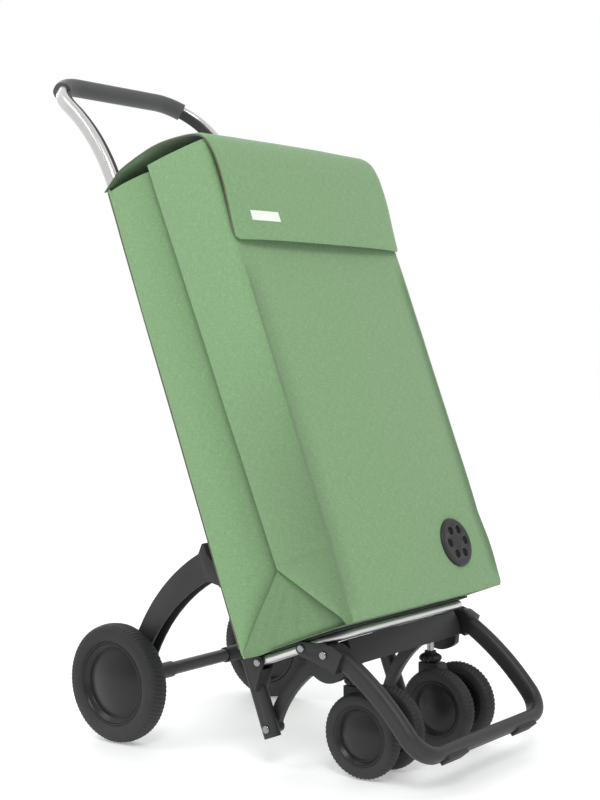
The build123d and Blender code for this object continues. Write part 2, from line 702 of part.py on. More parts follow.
with BuildPart() as pads:
    for side in SIDES.values():
        pad_face = Plane(
            origin=at(side * PAD_X, -HOOP_BAR_AHEAD, HOOP_BAR_UP)
            + (UPWARD * -HOOP_END_COS - BACKWARD * HOOP_END_SIN) * (HOOP_THICK / 2 - 2),
            x_dir=ACROSS,
            z_dir=UPWARD * -HOOP_END_COS - BACKWARD * HOOP_END_SIN,
        )
        with BuildSketch(pad_face):
            RectangleRounded(PAD_LONG, HOOP_DEEP - 8, 3)
        extrude(amount=PAD_THICK)
    add(hoop.part, mode=Mode.SUBTRACT)
save(pads, "hoop_pads")

# ---- front brackets and the beam that holds the casters -------------------------------------

for name, side in SIDES.items():
    outer_x = RAIL_X + TUBE_DEEP / 2 + BRACKET_SKIN
    (first_ahead, first_up), (second_ahead, second_up) = BRACKET_SCREWS
    with BuildPart() as bracket:
        with BuildSketch(side_plane(side * outer_x)):
            with Locations((-first_ahead, first_up)):
                Circle(BOSS_R)
            with Locations((-second_ahead, second_up)):
                Circle(15)
            with BuildLine():
                Polyline(
                    (-first_ahead, first_up + BOSS_R),
                    (-first_ahead - 14, first_up + 4),
                    (-second_ahead - 18, -19),
                    (-second_ahead - 29, -32),
                    (-second_ahead - 9, -53),
                    (-second_ahead + 4, -40.5),
                    (-first_ahead + 7, first_up - 7.5),
                    close=True,
                )
            make_face()
        extrude(amount=-side * (2 * BRACKET_SKIN + TUBE_DEEP - 2))
        with BuildSketch(level_plane(RAIL_UP + 20)):
            with Locations((side * (RAIL_X - 4), -first_ahead)):
                Rectangle(TUBE_DEEP + 8.6, 200)
        extrude(amount=-20 - TUBE_THICK / 2, mode=Mode.SUBTRACT)
        add(hoop.part, mode=Mode.SUBTRACT)
        with BuildSketch(side_plane(side * outer_x)):
            with Locations((-first_ahead, first_up), (-second_ahead, second_up)):
                Circle(PIN_R)
        extrude(amount=-side * 60, mode=Mode.SUBTRACT)
    save(bracket, f"{name}_front_bracket")

BRACKET_FACE_X = RAIL_X + TUBE_DEEP / 2 + BRACKET_SKIN
# the second screw runs on inwards, and its end is the pin that a brace hooks under
SCREW_LONG = (TUBE_DEEP + BRACKET_SKIN, BRACKET_FACE_X - BEAM_HALF - SIDE_GAP)
screw_places = [
    (side * BRACKET_FACE_X, (-ahead, up), long, side)
    for side in SIDES.values()
    for (ahead, up), long in zip(BRACKET_SCREWS, SCREW_LONG)
]
save(crosswise_pins(screw_places), "bracket_screws")

with BuildPart() as beam:
    beam_top = RAIL_FOOT - 0.3
    with BuildSketch(level_plane(beam_top)):
        with Locations((0, -BEAM_FRONT + BEAM_DEEP / 2)):
            Rectangle(2 * BEAM_HALF, BEAM_DEEP)
    extrude(amount=-BEAM_WALL)
    with BuildSketch(level_plane(beam_top)):
        with Locations((0, -BEAM_FRONT + BEAM_WALL / 2)):
            Rectangle(2 * BEAM_HALF, BEAM_WALL)
        with GridLocations(2 * BEAM_HALF - BEAM_WALL, 0, 2, 1):
            with Locations((0, -BEAM_FRONT + BEAM_DEEP / 2)):
                Rectangle(BEAM_WALL, BEAM_DEEP)
    extrude(amount=BEAM_FOOT - beam_top)
    with BuildSketch(level_plane(beam_top)):
        with Locations((0, -BEAM_FRONT + BEAM_DEEP / 2)):
            with GridLocations(BEAM_HALF / 2, 0, BEAM_RIBS, 1):
                Rectangle(2.4, BEAM_DEEP)
    extrude(amount=(BEAM_FOOT - beam_top) * 0.7)
    # upright sockets for the caster stems
    with BuildSketch(Plane.XY.offset(SOCKET_FOOT)):
        with Locations((-CASTER_X, CASTER_Y), (CASTER_X, CASTER_Y)):
            Circle(STEM_R + 5)
    extrude(until=Until.NEXT)
    with BuildSketch(Plane.XY.offset(STEM_TOP + SIDE_GAP)):
        with Locations((-CASTER_X, CASTER_Y), (CASTER_X, CASTER_Y)):
            Circle(STEM_R + RUNNING_GAP)
    extrude(amount=-60, mode=Mode.SUBTRACT)
save(beam, "caster_beam")

# ---- casters ----------------------------------------------------------------------------------

YOKE_HALF = 11.0
YOKE_TOP = COLLAR_FOOT
CASTER_AXLE_R = 4.0
for name, side in SIDES.items():
    x = side * CASTER_X
    with BuildPart() as stem:
        with BuildSketch(Plane.XY.offset(COLLAR_TOP - 14)):
            with Locations((x, CASTER_Y)):
                Circle(STEM_R)
        extrude(amount=STEM_TOP - COLLAR_TOP + 14)
    save(stem, f"{name}_caster_stem")

    with BuildPart() as collar:
        with BuildSketch(Plane.XY.offset(COLLAR_FOOT)):
            with Locations((x, CASTER_Y)):
                Circle(COLLAR_R)
        extrude(amount=COLLAR_TOP - COLLAR_FOOT)
        chamfer(collar.edges().filter_by(GeomType.CIRCLE), 2.0)
        with BuildSketch(Plane.XY.offset(COLLAR_TOP)):
            with Locations((x, CASTER_Y)):
                Circle(STEM_R + 3.5)
        extrude(amount=4)
        with BuildSketch(Plane.XY.offset(COLLAR_FOOT)):
            with Locations((x, CASTER_Y)):
                Circle(STEM_R)
        extrude(amount=30, mode=Mode.SUBTRACT)
    save(collar, f"{name}_caster_collar")

    with BuildPart() as yoke:
        with BuildSketch(Plane(origin=(x - YOKE_HALF, 0, 0), x_dir=(0, 1, 0), z_dir=ACROSS)):
            with Locations((CASTER_AXLE_Y, CASTER_WHEEL_R)):
                Circle(20)
            with BuildLine():
                Polyline(
                    (CASTER_Y - 17, YOKE_TOP),
                    (CASTER_Y + 13, YOKE_TOP),
                    (CASTER_Y + 13, YOKE_TOP - 22),
                    (CASTER_AXLE_Y + 12, CASTER_WHEEL_R - 16),
                    (CASTER_AXLE_Y - 18, CASTER_WHEEL_R + 8),
                    close=True,
                )
            make_face()
        extrude(amount=2 * YOKE_HALF)
        with BuildSketch(Plane(origin=(x - YOKE_HALF, 0, 0), x_dir=(0, 1, 0), z_dir=ACROSS)):
            with Locations((CASTER_AXLE_Y, CASTER_WHEEL_R)):
                Circle(CASTER_AXLE_R)
        extrude(amount=2 * YOKE_HALF, mode=Mode.SUBTRACT)
        with BuildSketch(Plane.XY.offset(COLLAR_TOP - 14)):
            with Locations((x, CASTER_Y)):
                Circle(STEM_R)
        extrude(amount=20, mode=Mode.SUBTRACT)
    save(yoke, f"{name}_caster_yoke")

    axle_half = CASTER_WHEEL_GAP / 2 + CASTER_WHEEL_WIDE / 2 - 5.6
    with BuildPart() as caster_axle:
        origin = (x - axle_half, CASTER_AXLE_Y, CASTER_WHEEL_R)
        with BuildSketch(Plane(origin=origin, x_dir=(0, 1, 0), z_dir=ACROSS)):
            Circle(CASTER_AXLE_R)
        extrude(amount=2 * axle_half)
    save(caster_axle, f"{name}_caster_axle")

    for place, outward in {"outer": side, "inner": -side}.items():
        wheel_x = x + outward * CASTER_WHEEL_GAP / 2
        seat = CASTER_WHEEL_R * 0.70
        dome = CASTER_WHEEL_R * 0.57
        tyre = make_tyre(wheel_x, CASTER_AXLE_Y, CASTER_WHEEL_R, CASTER_WHEEL_WIDE, seat)
        save(tyre, f"{name}_caster_{place}_tyre")
        half = CASTER_WHEEL_WIDE / 2 - 0.8
        bore = CASTER_AXLE_R + RUNNING_GAP
        hub_points = [
            (-half, bore),
            (half - 4.5, bore),
            (half - 4.5, 0),
            (half + 1.5, 0),
            (half + 0.9, dome * 0.5),
            (half - 1.5, dome * 0.85),
            (half - 5, dome),
            (half - 5, dome + 2),
            (half, seat - 3),
            (half, seat),
            (-half, seat),
            (-half, seat - 4),
            (half - 9, seat - 6),
            (half - 9, bore + 6),
            (-half, bore + 6),
        ]
        plane = wheel_plane(wheel_x, CASTER_AXLE_Y, CASTER_WHEEL_R)
        hub = ring(plane, [(outward * across, up) for across, up in hub_points])
        save(hub, f"{name}_caster_{place}_hub")

# ---- braces -----------------------------------------------------------------------------------

BRACE_FOOT_ANGLE = degrees(
    atan2(BRACE_PIVOT[1] - BRACE_CENTRE[1], BRACE_PIVOT[0] - BRACE_CENTRE[0])
)
HOOK_PIN = BRACKET_SCREWS[1]
NOTCH_R = PIN_R + SIDE_GAP


def brace_point(radius, angle):
    """Back and up, on a circle about the brace's centre."""
    ahead, up = on_circle(BRACE_CENTRE, radius, angle)
    return -ahead, up


for name, side in SIDES.items():
    half = BRACE_DEEP / 2
    mid_angle = (BRACE_FOOT_ANGLE + BRACE_TOP) / 2
    with BuildPart() as brace:
        with BuildSketch(side_plane(side * BRACE_OUT_X)):
            with BuildLine():
                ThreePointArc(
                    brace_point(BRACE_RADIUS + half, BRACE_FOOT_ANGLE),
                    brace_point(BRACE_RADIUS + half, mid_angle),
                    brace_point(BRACE_RADIUS + half, BRACE_TOP),
                )
                Line(
                    brace_point(BRACE_RADIUS + half, BRACE_TOP),
                    brace_point(BRACE_RADIUS - half, BRACE_TOP),
                )
                ThreePointArc(
                    brace_point(BRACE_RADIUS - half, BRACE_TOP),
                    brace_point(BRACE_RADIUS - half, mid_angle),
                    brace_point(BRACE_RADIUS - half, BRACE_FOOT_ANGLE),
                )
                Line(
                    brace_point(BRACE_RADIUS - half, BRACE_FOOT_ANGLE),
                    brace_point(BRACE_RADIUS + half, BRACE_FOOT_ANGLE),
                )
            make_face()
            with Locations(FOOT_PIVOT):
                Circle(half)
            # the lobed hook, its notch open along the way the pin leaves it
            top_back, top_up = brace_point(BRACE_RADIUS + half, BRACE_TOP)
            low_back, low_up = brace_point(BRACE_RADIUS - half, BRACE_TOP)
            pin_back, pin_up = -HOOK_PIN[0], HOOK_PIN[1]
            with BuildLine():
                Polyline(
                    (low_back + 1, low_up),
                    (top_back + 1, top_up),
                    (pin_back + 13, pin_up + 7),
                    (pin_back - 5, pin_up + 8),
                    (pin_back - 10, pin_up + 2),
                    (pin_back - 9, pin_up - 12),
                    (pin_back + 1, pin_up - 33),
                )
                ThreePointArc(
                    (pin_back + 1, pin_up - 33),
                    (pin_back + 20, pin_up - 36.5),
                    (low_back - 4, low_up - 2),
                )
                Line((low_back - 4, low_up - 2), (low_back + 1, low_up))
            make_face()
            leave = degrees(atan2(FOOT_PIVOT[0] - pin_back, pin_up - FOOT_PIVOT[1]))
            with Locations((pin_back, pin_up)):
                Circle(NOTCH_R, mode=Mode.SUBTRACT)
                with Locations(Rot(0, 0, leave)):
                    with Locations((15, 0)):
                        Rectangle(30, 2 * NOTCH_R, mode=Mode.SUBTRACT)
            with Locations(FOOT_PIVOT):
                Circle(PIN_R + RUNNING_GAP, mode=Mode.SUBTRACT)
        extrude(amount=-side * BRACE_THICK)
    save(brace, f"{name}_brace")

# ---- bag, flap and vent -----------------------------------------------------------------------

with BuildPart() as bag:
    with BuildSketch(level_plane(0)):
        with Locations((0, -BAG_DEPTH / 2)):
            RectangleRounded(BAG_WIDTH, BAG_DEPTH, BAG_EDGE_ROUND)
    extrude(amount=BAG_HEIGHT)
    with BuildSketch(level_plane(BAG_WALL)):
        with Locations((0, -BAG_DEPTH / 2)):
            RectangleRounded(
                BAG_WIDTH - 2 * BAG_WALL, BAG_DEPTH - 2 * BAG_WALL, BAG_EDGE_ROUND - BAG_WALL
            )
    extrude(amount=BAG_HEIGHT, mode=Mode.SUBTRACT)
    # the rim falls a little from back to front
    with BuildSketch(side_plane(-BAG_WIDTH)):
        with BuildLine():
            Polyline(
                (0, BAG_HEIGHT),
                (-BAG_DEPTH, BAG_FRONT_HEIGHT),
                (-BAG_DEPTH, BAG_HEIGHT + 1),
                (0, BAG_HEIGHT + 1),
                close=True,
            )
        make_face()
    extrude(amount=2 * BAG_WIDTH, mode=Mode.SUBTRACT)
save(bag, "bag_body")

FLAP_PIVOT = (1.0, BAG_HEIGHT + 2.0)
FLAP_FRONT = BAG_DEPTH + FLAP_GAP


def flap_line(inset):
    """Points of two arcs over the top, then the front edge, drawn in by inset."""
    front = -FLAP_FRONT - FLAP_THICK + inset
    top = BAG_HEIGHT + FLAP_ARCH + FLAP_THICK - inset
    return (
        (FLAP_PIVOT[0], top - FLAP_ARCH + 1.5),
        (-BAG_DEPTH * 0.38, top),
        (-BAG_DEPTH * 0.80, top - 9),
        (front + inset * 0.3 + 0.5, BAG_FRONT_HEIGHT + 6.5 - inset * 0.7),
        (front - FLAP_BULGE, BAG_FRONT_HEIGHT - 36),
        (front, BAG_FRONT_HEIGHT - FLAP_FALL),
    )


with BuildPart() as flap:
    outer_line = flap_line(0)
    inner_line = flap_line(FLAP_THICK)
    with BuildSketch(side_plane(-BAG_WIDTH / 2)):
        with BuildLine():
            ThreePointArc(*outer_line[0:3])
            ThreePointArc(*outer_line[2:5])
            Line(outer_line[4], outer_line[5])
            Line(outer_line[5], inner_line[5])
            Line(inner_line[5], inner_line[4])
            ThreePointArc(*inner_line[2:5])
            ThreePointArc(*inner_line[0:3])
            Line(inner_line[0], outer_line[0])
        make_face()
    extrude(amount=BAG_WIDTH)
save(flap, "bag_flap")

LABEL_LONG = 56.0
LABEL_HIGH = 14.0
LABEL_RISE = 32.0  # above the flap's hem
label_tilt = atan2(FLAP_BULGE, FLAP_FALL - 36)
label_out = -BACKWARD * cos(label_tilt) - UPWARD * sin(label_tilt)
label_at = at(
    -122,
    -FLAP_FRONT - FLAP_THICK - LABEL_RISE * sin(label_tilt) / cos(label_tilt),
    BAG_FRONT_HEIGHT - FLAP_FALL + LABEL_RISE,
)
with BuildPart() as label:
    with BuildSketch(Plane(origin=label_at, x_dir=ACROSS, z_dir=label_out)):
        RectangleRounded(LABEL_LONG, LABEL_HIGH, 3)
    extrude(amount=0.8)
save(label, "flap_label")

VENT_HOLES = 6
with BuildPart() as vent:
    with BuildSketch(Plane(origin=at(VENT_X, -BAG_DEPTH, VENT_UP), x_dir=ACROSS, z_dir=-BACKWARD)):
        Circle(VENT_R)
    extrude(amount=VENT_THICK)
    fillet(vent.edges().filter_by(GeomType.CIRCLE).sort_by(Axis(at(0, 0, 0), -BACKWARD))[-1], 4)
    with BuildSketch(
        Plane(origin=at(VENT_X, -BAG_DEPTH - VENT_THICK, VENT_UP), x_dir=ACROSS, z_dir=-BACKWARD)
    ):
        with PolarLocations(VENT_R * 0.55, VENT_HOLES):
            Circle(VENT_R * 0.17)
    extrude(amount=-VENT_THICK * 0.6, mode=Mode.SUBTRACT)
save(vent, "vent_disc")
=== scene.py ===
"""The looks of a folding shopping trolley: cloth bag and flap, treaded tyres, domed wheel faces,
softened plastic mouldings and every finish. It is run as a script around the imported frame."""

import json
import math

import bpy
import numpy as np
from bpy.props import FloatProperty, FloatVectorProperty, IntProperty, PointerProperty
from mathutils import Matrix, Vector, noise

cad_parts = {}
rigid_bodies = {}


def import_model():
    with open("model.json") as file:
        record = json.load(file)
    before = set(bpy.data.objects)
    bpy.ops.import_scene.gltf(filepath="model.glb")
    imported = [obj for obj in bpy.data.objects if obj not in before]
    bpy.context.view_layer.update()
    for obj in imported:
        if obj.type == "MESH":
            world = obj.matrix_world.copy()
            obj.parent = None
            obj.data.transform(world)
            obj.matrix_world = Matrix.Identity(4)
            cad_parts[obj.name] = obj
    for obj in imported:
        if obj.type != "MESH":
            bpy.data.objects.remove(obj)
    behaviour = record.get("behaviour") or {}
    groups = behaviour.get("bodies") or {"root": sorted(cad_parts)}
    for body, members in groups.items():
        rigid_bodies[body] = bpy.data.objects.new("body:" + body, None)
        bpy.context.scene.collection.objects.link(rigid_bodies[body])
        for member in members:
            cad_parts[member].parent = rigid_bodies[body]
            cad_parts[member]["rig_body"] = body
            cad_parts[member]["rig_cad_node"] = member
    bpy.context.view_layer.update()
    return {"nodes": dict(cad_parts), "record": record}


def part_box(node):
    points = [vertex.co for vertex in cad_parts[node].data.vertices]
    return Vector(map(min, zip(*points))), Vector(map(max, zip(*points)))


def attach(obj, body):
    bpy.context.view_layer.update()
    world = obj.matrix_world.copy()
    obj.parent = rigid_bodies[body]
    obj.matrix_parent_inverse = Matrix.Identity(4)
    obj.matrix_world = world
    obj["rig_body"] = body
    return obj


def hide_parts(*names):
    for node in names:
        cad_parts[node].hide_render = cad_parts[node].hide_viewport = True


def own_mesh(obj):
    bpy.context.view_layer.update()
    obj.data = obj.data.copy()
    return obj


bl_info = {
    "name": "Shopping Trolley Looks",
    "version": (1, 0, 0),
    "blender": (4, 5, 0),
    "location": "View3D > Sidebar > Trolley",
    "description": "Builds the cloth, wheels, mouldings and finishes of a folding shopping trolley",
    "category": "Object",
}

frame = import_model()
SLOT_OF = {s["node"]: s["material_slot"] for s in frame["record"]["subparts"]}
BODY_OF = {n: b for b, ns in frame["record"]["behaviour"]["bodies"].items() for n in ns}
SIDES = {"left": -1, "right": 1}
MM = 0.001


# ---- the leaning frame: back and up are square to the bag's back and along it ------------


def middle(node):
    """The middle of a CAD node's box."""
    low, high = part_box(node)
    return (low + high) / 2


ROD_BACK = 14 * MM
LOWER_ROD_UP = 30 * MM
LOW_ROD = middle("lower_cross_rod")
UPWARD = (middle("upper_cross_rod") - LOW_ROD).normalized()
BACKWARD = Vector((0, UPWARD.z, -UPWARD.y))
FOOT = LOW_ROD - UPWARD * LOWER_ROD_UP - BACKWARD * ROD_BACK
BAG_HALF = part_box("bag_body")[1].x
BAG_DEEP = 190 * MM


def at(x, back, up):
    """A point of the leaning frame, in metres."""
    return FOOT + Vector((x, 0, 0)) + BACKWARD * back + UPWARD * up


# ---- sizes and colours that a user would change -------------------------------------------


def length(name, description, millimetres):
    """A length property with its default in millimetres."""
    return FloatProperty(name=name, description=description, default=millimetres * MM, unit="LENGTH")


def colour(name, description, value):
    """A colour property."""
    return FloatVectorProperty(
        name=name, description=description, default=value, subtype="COLOR", min=0, max=1,
    )


class TrolleyCloth(bpy.types.PropertyGroup):
    """Sizes and colours of the bag and its flap"""

    thick: length("Cloth thickness", "How thick the coated cloth is", 1.4)
    pleat: length("Pleat depth", "How far the side pleats fold in", 17)
    bulge: length("Front bulge", "How far the front panel stands out", 4)
    green: colour("Thread", "Main thread colour", (0.243, 0.392, 0.203))
    pale: colour("Pale thread", "Lighter thread of the weave", (0.36, 0.505, 0.315))
    dark: colour("Dark thread", "Darker thread of the weave", (0.152, 0.282, 0.13))
    thread: length("Thread pitch", "Distance between threads", 0.9)


class TrolleyWheels(bpy.types.PropertyGroup):
    """Sizes of the tyres and wheel faces"""

    tread: length("Tread depth", "Depth of the tread", 1.3)
    pitch: length("Tread pitch", "Distance round the tyre between knobs", 6.2)
    dome: length("Dome height", "How far a wheel's dome stands up from its rim", 11)
    foam: colour("Tyre", "Colour of the foam tyres", (0.016, 0.016, 0.017))


class TrolleyHard(bpy.types.PropertyGroup):
    """Sizes and colours of the hard pieces"""

    soften: length("Edge radius", "Rounding of moulded edges", 0.9)
    plastic: colour("Plastic", "Colour of the black mouldings", (0.018, 0.018, 0.019))
    metal: colour("Aluminium", "Colour of the tube", (0.62, 0.62, 0.612))
    segments: IntProperty(name="Edge steps", description="Steps in a rounded edge", default=2, min=1, max=4)


# ---- shared shader effects ------------------------------------------------------------------


def new_group(name, inputs, outputs):
    """An empty node group with float or vector sockets."""
    group = bpy.data.node_groups.new(name, "ShaderNodeTree")
    for socket, kind, default in inputs:
        made = group.interface.new_socket(socket, in_out="INPUT", socket_type=kind)
        if default is not None:
            made.default_value = default
    for socket, kind in outputs:
        group.interface.new_socket(socket, in_out="OUTPUT", socket_type=kind)
    enter = group.nodes.new("NodeGroupInput")
    leave = group.nodes.new("NodeGroupOutput")
    return group, enter.outputs, leave.inputs


def add(tree, kind, wires=(), **settings):
    """A node with its settings and its incoming links or values."""
    node = tree.nodes.new(kind)
    for key, value in settings.items():
        setattr(node, key, value)
    for socket, source in dict(wires).items():
        if isinstance(source, bpy.types.NodeSocket):
            tree.links.new(source, node.inputs[socket])
        else:
            node.inputs[socket].default_value = source
    return node


def maths(tree, operation, first, second=0.0):
    """A maths node's output."""
    return add(tree, "ShaderNodeMath", {0: first, 1: second}, operation=operation).outputs[0]


def noise_value(tree, vector, scale, detail=3.0, rough=0.5):
    """A noise texture's value."""
    wires = {"Vector": vector, "Scale": scale, "Detail": detail, "Roughness": rough}
    return add(tree, "ShaderNodeTexNoise", wires).outputs["Fac"]


def stretched(tree, vector, scale):
    """Coordinates drawn out differently along each axis."""
    return add(tree, "ShaderNodeMapping", {"Vector": vector, "Scale": scale}).outputs["Vector"]


def weave_group():
    """Plain weave of mottled threads: a height and a tone from -1 to 1."""
    group, enter, leave = new_group(
        "woven cloth",
        [("Cloth", "NodeSocketVector", None), ("Threads", "NodeSocketFloat", 1000.0)],
        [("Height", "NodeSocketFloat"), ("Tone", "NodeSocketFloat")],
    )
    parts = add(group, "ShaderNodeSeparateXYZ", {"Vector": enter["Cloth"]}).outputs
    pitch = maths(group, "MULTIPLY", enter["Threads"], math.pi)
    across = maths(group, "SINE", maths(group, "MULTIPLY", parts["X"], pitch))
    along = maths(group, "SINE", maths(group, "MULTIPLY", parts["Y"], pitch))
    over = maths(group, "MULTIPLY", across, along)
    group.links.new(maths(group, "MULTIPLY_ADD", over, 0.5), leave["Height"])
    warp = noise_value(group, stretched(group, enter["Cloth"], (1500, 110, 1)), 1.0, 2.0)
    weft = noise_value(group, stretched(group, enter["Cloth"], (110, 1500, 1)), 1.0, 2.0)
    cloud = noise_value(group, stretched(group, enter["Cloth"], (420, 420, 1)), 1.0, 3.0, 0.65)
    slubs = maths(group, "ADD", warp, weft)
    mixed = maths(group, "ADD", slubs, maths(group, "MULTIPLY", cloud, 0.8))
    group.links.new(maths(group, "MULTIPLY", maths(group, "SUBTRACT", mixed, 1.4), 1.5), leave["Tone"])
    return group


def grain_group():
    """Fine moulded grain and slow unevenness, as a height and a mask from 0 to 1."""
    group, enter, leave = new_group(
        "moulded grain",
        [("Place", "NodeSocketVector", None), ("Fineness", "NodeSocketFloat", 900.0)],
        [("Height", "NodeSocketFloat"), ("Unevenness", "NodeSocketFloat")],
    )
    group.links.new(noise_value(group, enter["Place"], enter["Fineness"], 2.0), leave["Height"])
    group.links.new(noise_value(group, enter["Place"], 22.0, 4.0, 0.6), leave["Unevenness"])
    return group


def dust_group():
    """A thin settling of dust near the floor, broken up by noise, from 0 to 1."""
    group, enter, leave = new_group(
        "dust",
        [
            ("Place", "NodeSocketVector", None),
            ("Amount", "NodeSocketFloat", 0.3),
            ("Reach", "NodeSocketFloat", 0.12),
        ],
        [("Dust", "NodeSocketFloat")],
    )
    high = add(group, "ShaderNodeSeparateXYZ", {"Vector": enter["Place"]}).outputs["Z"]
    low = maths(group, "SUBTRACT", 1.0, maths(group, "DIVIDE", high, enter["Reach"]))
    kept = add(group, "ShaderNodeClamp", {"Value": low}).outputs[0]
    patchy = maths(group, "MULTIPLY", kept, noise_value(group, enter["Place"], 60.0, 5.0, 0.7))
    group.links.new(maths(group, "MULTIPLY", patchy, enter["Amount"]), leave["Dust"])
    return group


GROUPS = {}


def effect(tree, name, wires):
    """A shared effect placed in a material."""
    makers = {"weave": weave_group, "grain": grain_group, "dust": dust_group}
    if name not in GROUPS:
        GROUPS[name] = makers[name]()
    node = tree.nodes.new("ShaderNodeGroup")
    node.node_tree = GROUPS[name]
    for socket, source in wires.items():
        if isinstance(source, bpy.types.NodeSocket):
            tree.links.new(source, node.inputs[socket])
        else:
            node.inputs[socket].default_value = source
    return node.outputs


def start_material(name, **values):
    """A material with its Principled BSDF's own values set."""
    material = bpy.data.materials.new(name)
    material.use_nodes = True
    shader = material.node_tree.nodes["Principled BSDF"]
    for key, value in values.items():
        shader.inputs[key.replace("_", " ")].default_value = value
    place = material.node_tree.nodes.new("ShaderNodeTexCoord").outputs
    return material, material.node_tree, shader, place


def blend_colours(tree, share, first, second):
    """Two colours mixed by a share."""
    mix = tree.nodes.new("ShaderNodeMix")
    mix.data_type = "RGBA"
    tree.links.new(share, mix.inputs["Factor"])
    for socket, value in (("A", first), ("B", second)):
        target = [i for i in mix.inputs if i.name == socket and i.type == "RGBA"][0]
        if isinstance(value, bpy.types.NodeSocket):
            tree.links.new(value, target)
        else:
            target.default_value = (*value, 1)
    return [o for o in mix.outputs if o.type == "RGBA"][0]


def spread(tree, value, low, high):
    """A 0 to 1 value spread over a range."""
    made = add(tree, "ShaderNodeMapRange", {"Value": value, "To Min": low, "To Max": high})
    return made.outputs["Result"]


def bumped(tree, shader, height, strength, distance):
    """Surface relief from a height."""
    bump = add(tree, "ShaderNodeBump", {"Height": height, "Strength": strength, "Distance": distance})
    tree.links.new(bump.outputs["Normal"], shader.inputs["Normal"])


def moulded(name, base, rough, grain=900.0, relief=0.25, coat=0.0, dust=0.1, gloss=0.32):
    """A moulded plastic or rubber with grain, uneven gloss and a little dust."""
    material, tree, shader, place = start_material(name, Coat_Roughness=0.25, Specular_IOR_Level=gloss)
    made = effect(tree, "grain", {"Place": place["Object"], "Fineness": grain})
    dirt = effect(tree, "dust", {"Place": place["Object"], "Amount": dust})
    lighter = tuple(c * 1.7 + 0.004 for c in base)
    tone = blend_colours(tree, made["Unevenness"], base, lighter)
    dusty = blend_colours(tree, dirt["Dust"], tone, (0.20, 0.19, 0.175))
    tree.links.new(dusty, shader.inputs["Base Color"])
    tree.links.new(spread(tree, made["Unevenness"], rough - 0.08, rough + 0.1), shader.inputs["Roughness"])
    if coat:
        tree.links.new(spread(tree, made["Unevenness"], coat * 0.8, coat), shader.inputs["Coat Weight"])
    bumped(tree, shader, made["Height"], relief, 0.0003)
    return material


PAINTED_SHADE_SHARE = 0.16  # painted shade: how much of the green is left where a crease is painted darkest


def cloth_material(name, green, pale, dark, pitch):
    """Mottled woven polyester that follows the cloth's own map, darkened by shade painted into the bag's
    folds.
    """
    material, tree, shader, place = start_material(name, Roughness=0.82, Specular_IOR_Level=0.25)
    shader.inputs["Sheen Weight"].default_value = 0.22
    shader.inputs["Sheen Roughness"].default_value = 0.45
    made = effect(tree, "weave", {"Cloth": place["UV"], "Threads": 1.0 / pitch})
    tone = spread(tree, made["Tone"], 0.0, 1.0)
    low = blend_colours(tree, tone, dark, green)
    high = blend_colours(tree, tone, green, pale)
    half = add(tree, "ShaderNodeClamp", {"Value": maths(tree, "MULTIPLY_ADD", made["Tone"], 0.5)}).outputs[0]
    # painted shade: the bag's fold attribute darkens the weave toward a deep green in its pleats, tucked
    # triangle, low sides and beside its front corners
    fold = add(tree, "ShaderNodeAttribute", attribute_name="fold").outputs["Fac"]
    deep = tuple(c * PAINTED_SHADE_SHARE for c in green)
    with_painted_shade = blend_colours(tree, fold, blend_colours(tree, half, low, high), deep)
    tree.links.new(with_painted_shade, shader.inputs["Base Color"])
    tree.links.new(spread(tree, made["Height"], 0.74, 0.88), shader.inputs["Roughness"])
    bumped(tree, shader, made["Height"], 0.5, 0.0004)
    return material


def metal_material(name, base, rough, lines=(4, 400, 400), relief=0.02):
    """Drawn metal with faint lines along it."""
    material, tree, shader, place = start_material(name, Metallic=1.0)
    drawn = noise_value(tree, stretched(tree, place["Object"], lines), 1.0, 3.0, 0.7)
    cloud = noise_value(tree, place["Object"], 14.0, 3.0)
    tone = blend_colours(tree, cloud, base, tuple(min(1, c * 1.08) for c in base))
    tree.links.new(tone, shader.inputs["Base Color"])
    tree.links.new(spread(tree, drawn, rough - 0.07, rough + 0.1), shader.inputs["Roughness"])
    bumped(tree, shader, drawn, relief, 0.0002)
    return material


def make_finishes(cloth, wheels, hard):
    """One finish for each of the record's material slots."""
    plastic = tuple(hard.plastic)
    green, pale, dark = tuple(cloth.green), tuple(cloth.pale), tuple(cloth.dark)
    return {
        "green_fabric": cloth_material("green cloth", green, pale, dark, cloth.thread),
        "aluminium_tube": metal_material("drawn aluminium", tuple(hard.metal), 0.3, (90, 90, 5)),
        "bright_fastener": metal_material("bright steel", (0.26, 0.26, 0.265), 0.12),
        "steel_rod": metal_material("steel rod", (0.40, 0.40, 0.41), 0.28),
        "foam_tyre": moulded("foam tyre", tuple(wheels.foam), 0.6, 1400.0, 0.5, dust=0.16),
        "wheel_plastic": moulded(
            "wheel plastic", (0.007, 0.007, 0.0075), 0.34, 500.0, 0.06, coat=0.1, dust=0.06, gloss=0.3,
        ),
        "grip_foam": moulded("grip foam", (0.055, 0.055, 0.058), 0.5, 1500.0, 0.35, dust=0.0, gloss=0.45),
        "pad_rubber": moulded("pad rubber", (0.016, 0.016, 0.016), 0.7, dust=0.3),
        "label_patch": moulded("label patch", (0.60, 0.64, 0.58), 0.5, 1200.0, 0.2, dust=0.0),
        "black_steel": moulded("black steel", (0.014, 0.014, 0.015), 0.32, 500.0, 0.08, coat=0.3),
        "base_board": moulded("base board", (0.03, 0.03, 0.03), 0.6),
        "black_plastic": moulded("black plastic", plastic, 0.44, 1100.0, 0.3),
    }


FINISHES = {}


def dress(piece, slot):
    """Gives a piece the finish of a slot."""
    piece.data.materials.clear()
    piece.data.materials.append(FINISHES[slot])


# ---- mesh helpers ---------------------------------------------------------------------------


def only(piece):
    """Makes one object the sole selected and active one."""
    bpy.ops.object.select_all(action="DESELECT")
    piece.select_set(True)
    bpy.context.view_layer.objects.active = piece


def new_piece(name, points, faces=(), edges=()):
    """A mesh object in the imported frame, at the origin."""
    mesh = bpy.data.meshes.new(name)
    mesh.from_pydata([tuple(p) for p in points], list(edges), list(faces))
    mesh.update()
    piece = bpy.data.objects.new(name, mesh)
    bpy.context.scene.collection.objects.link(piece)
    return piece


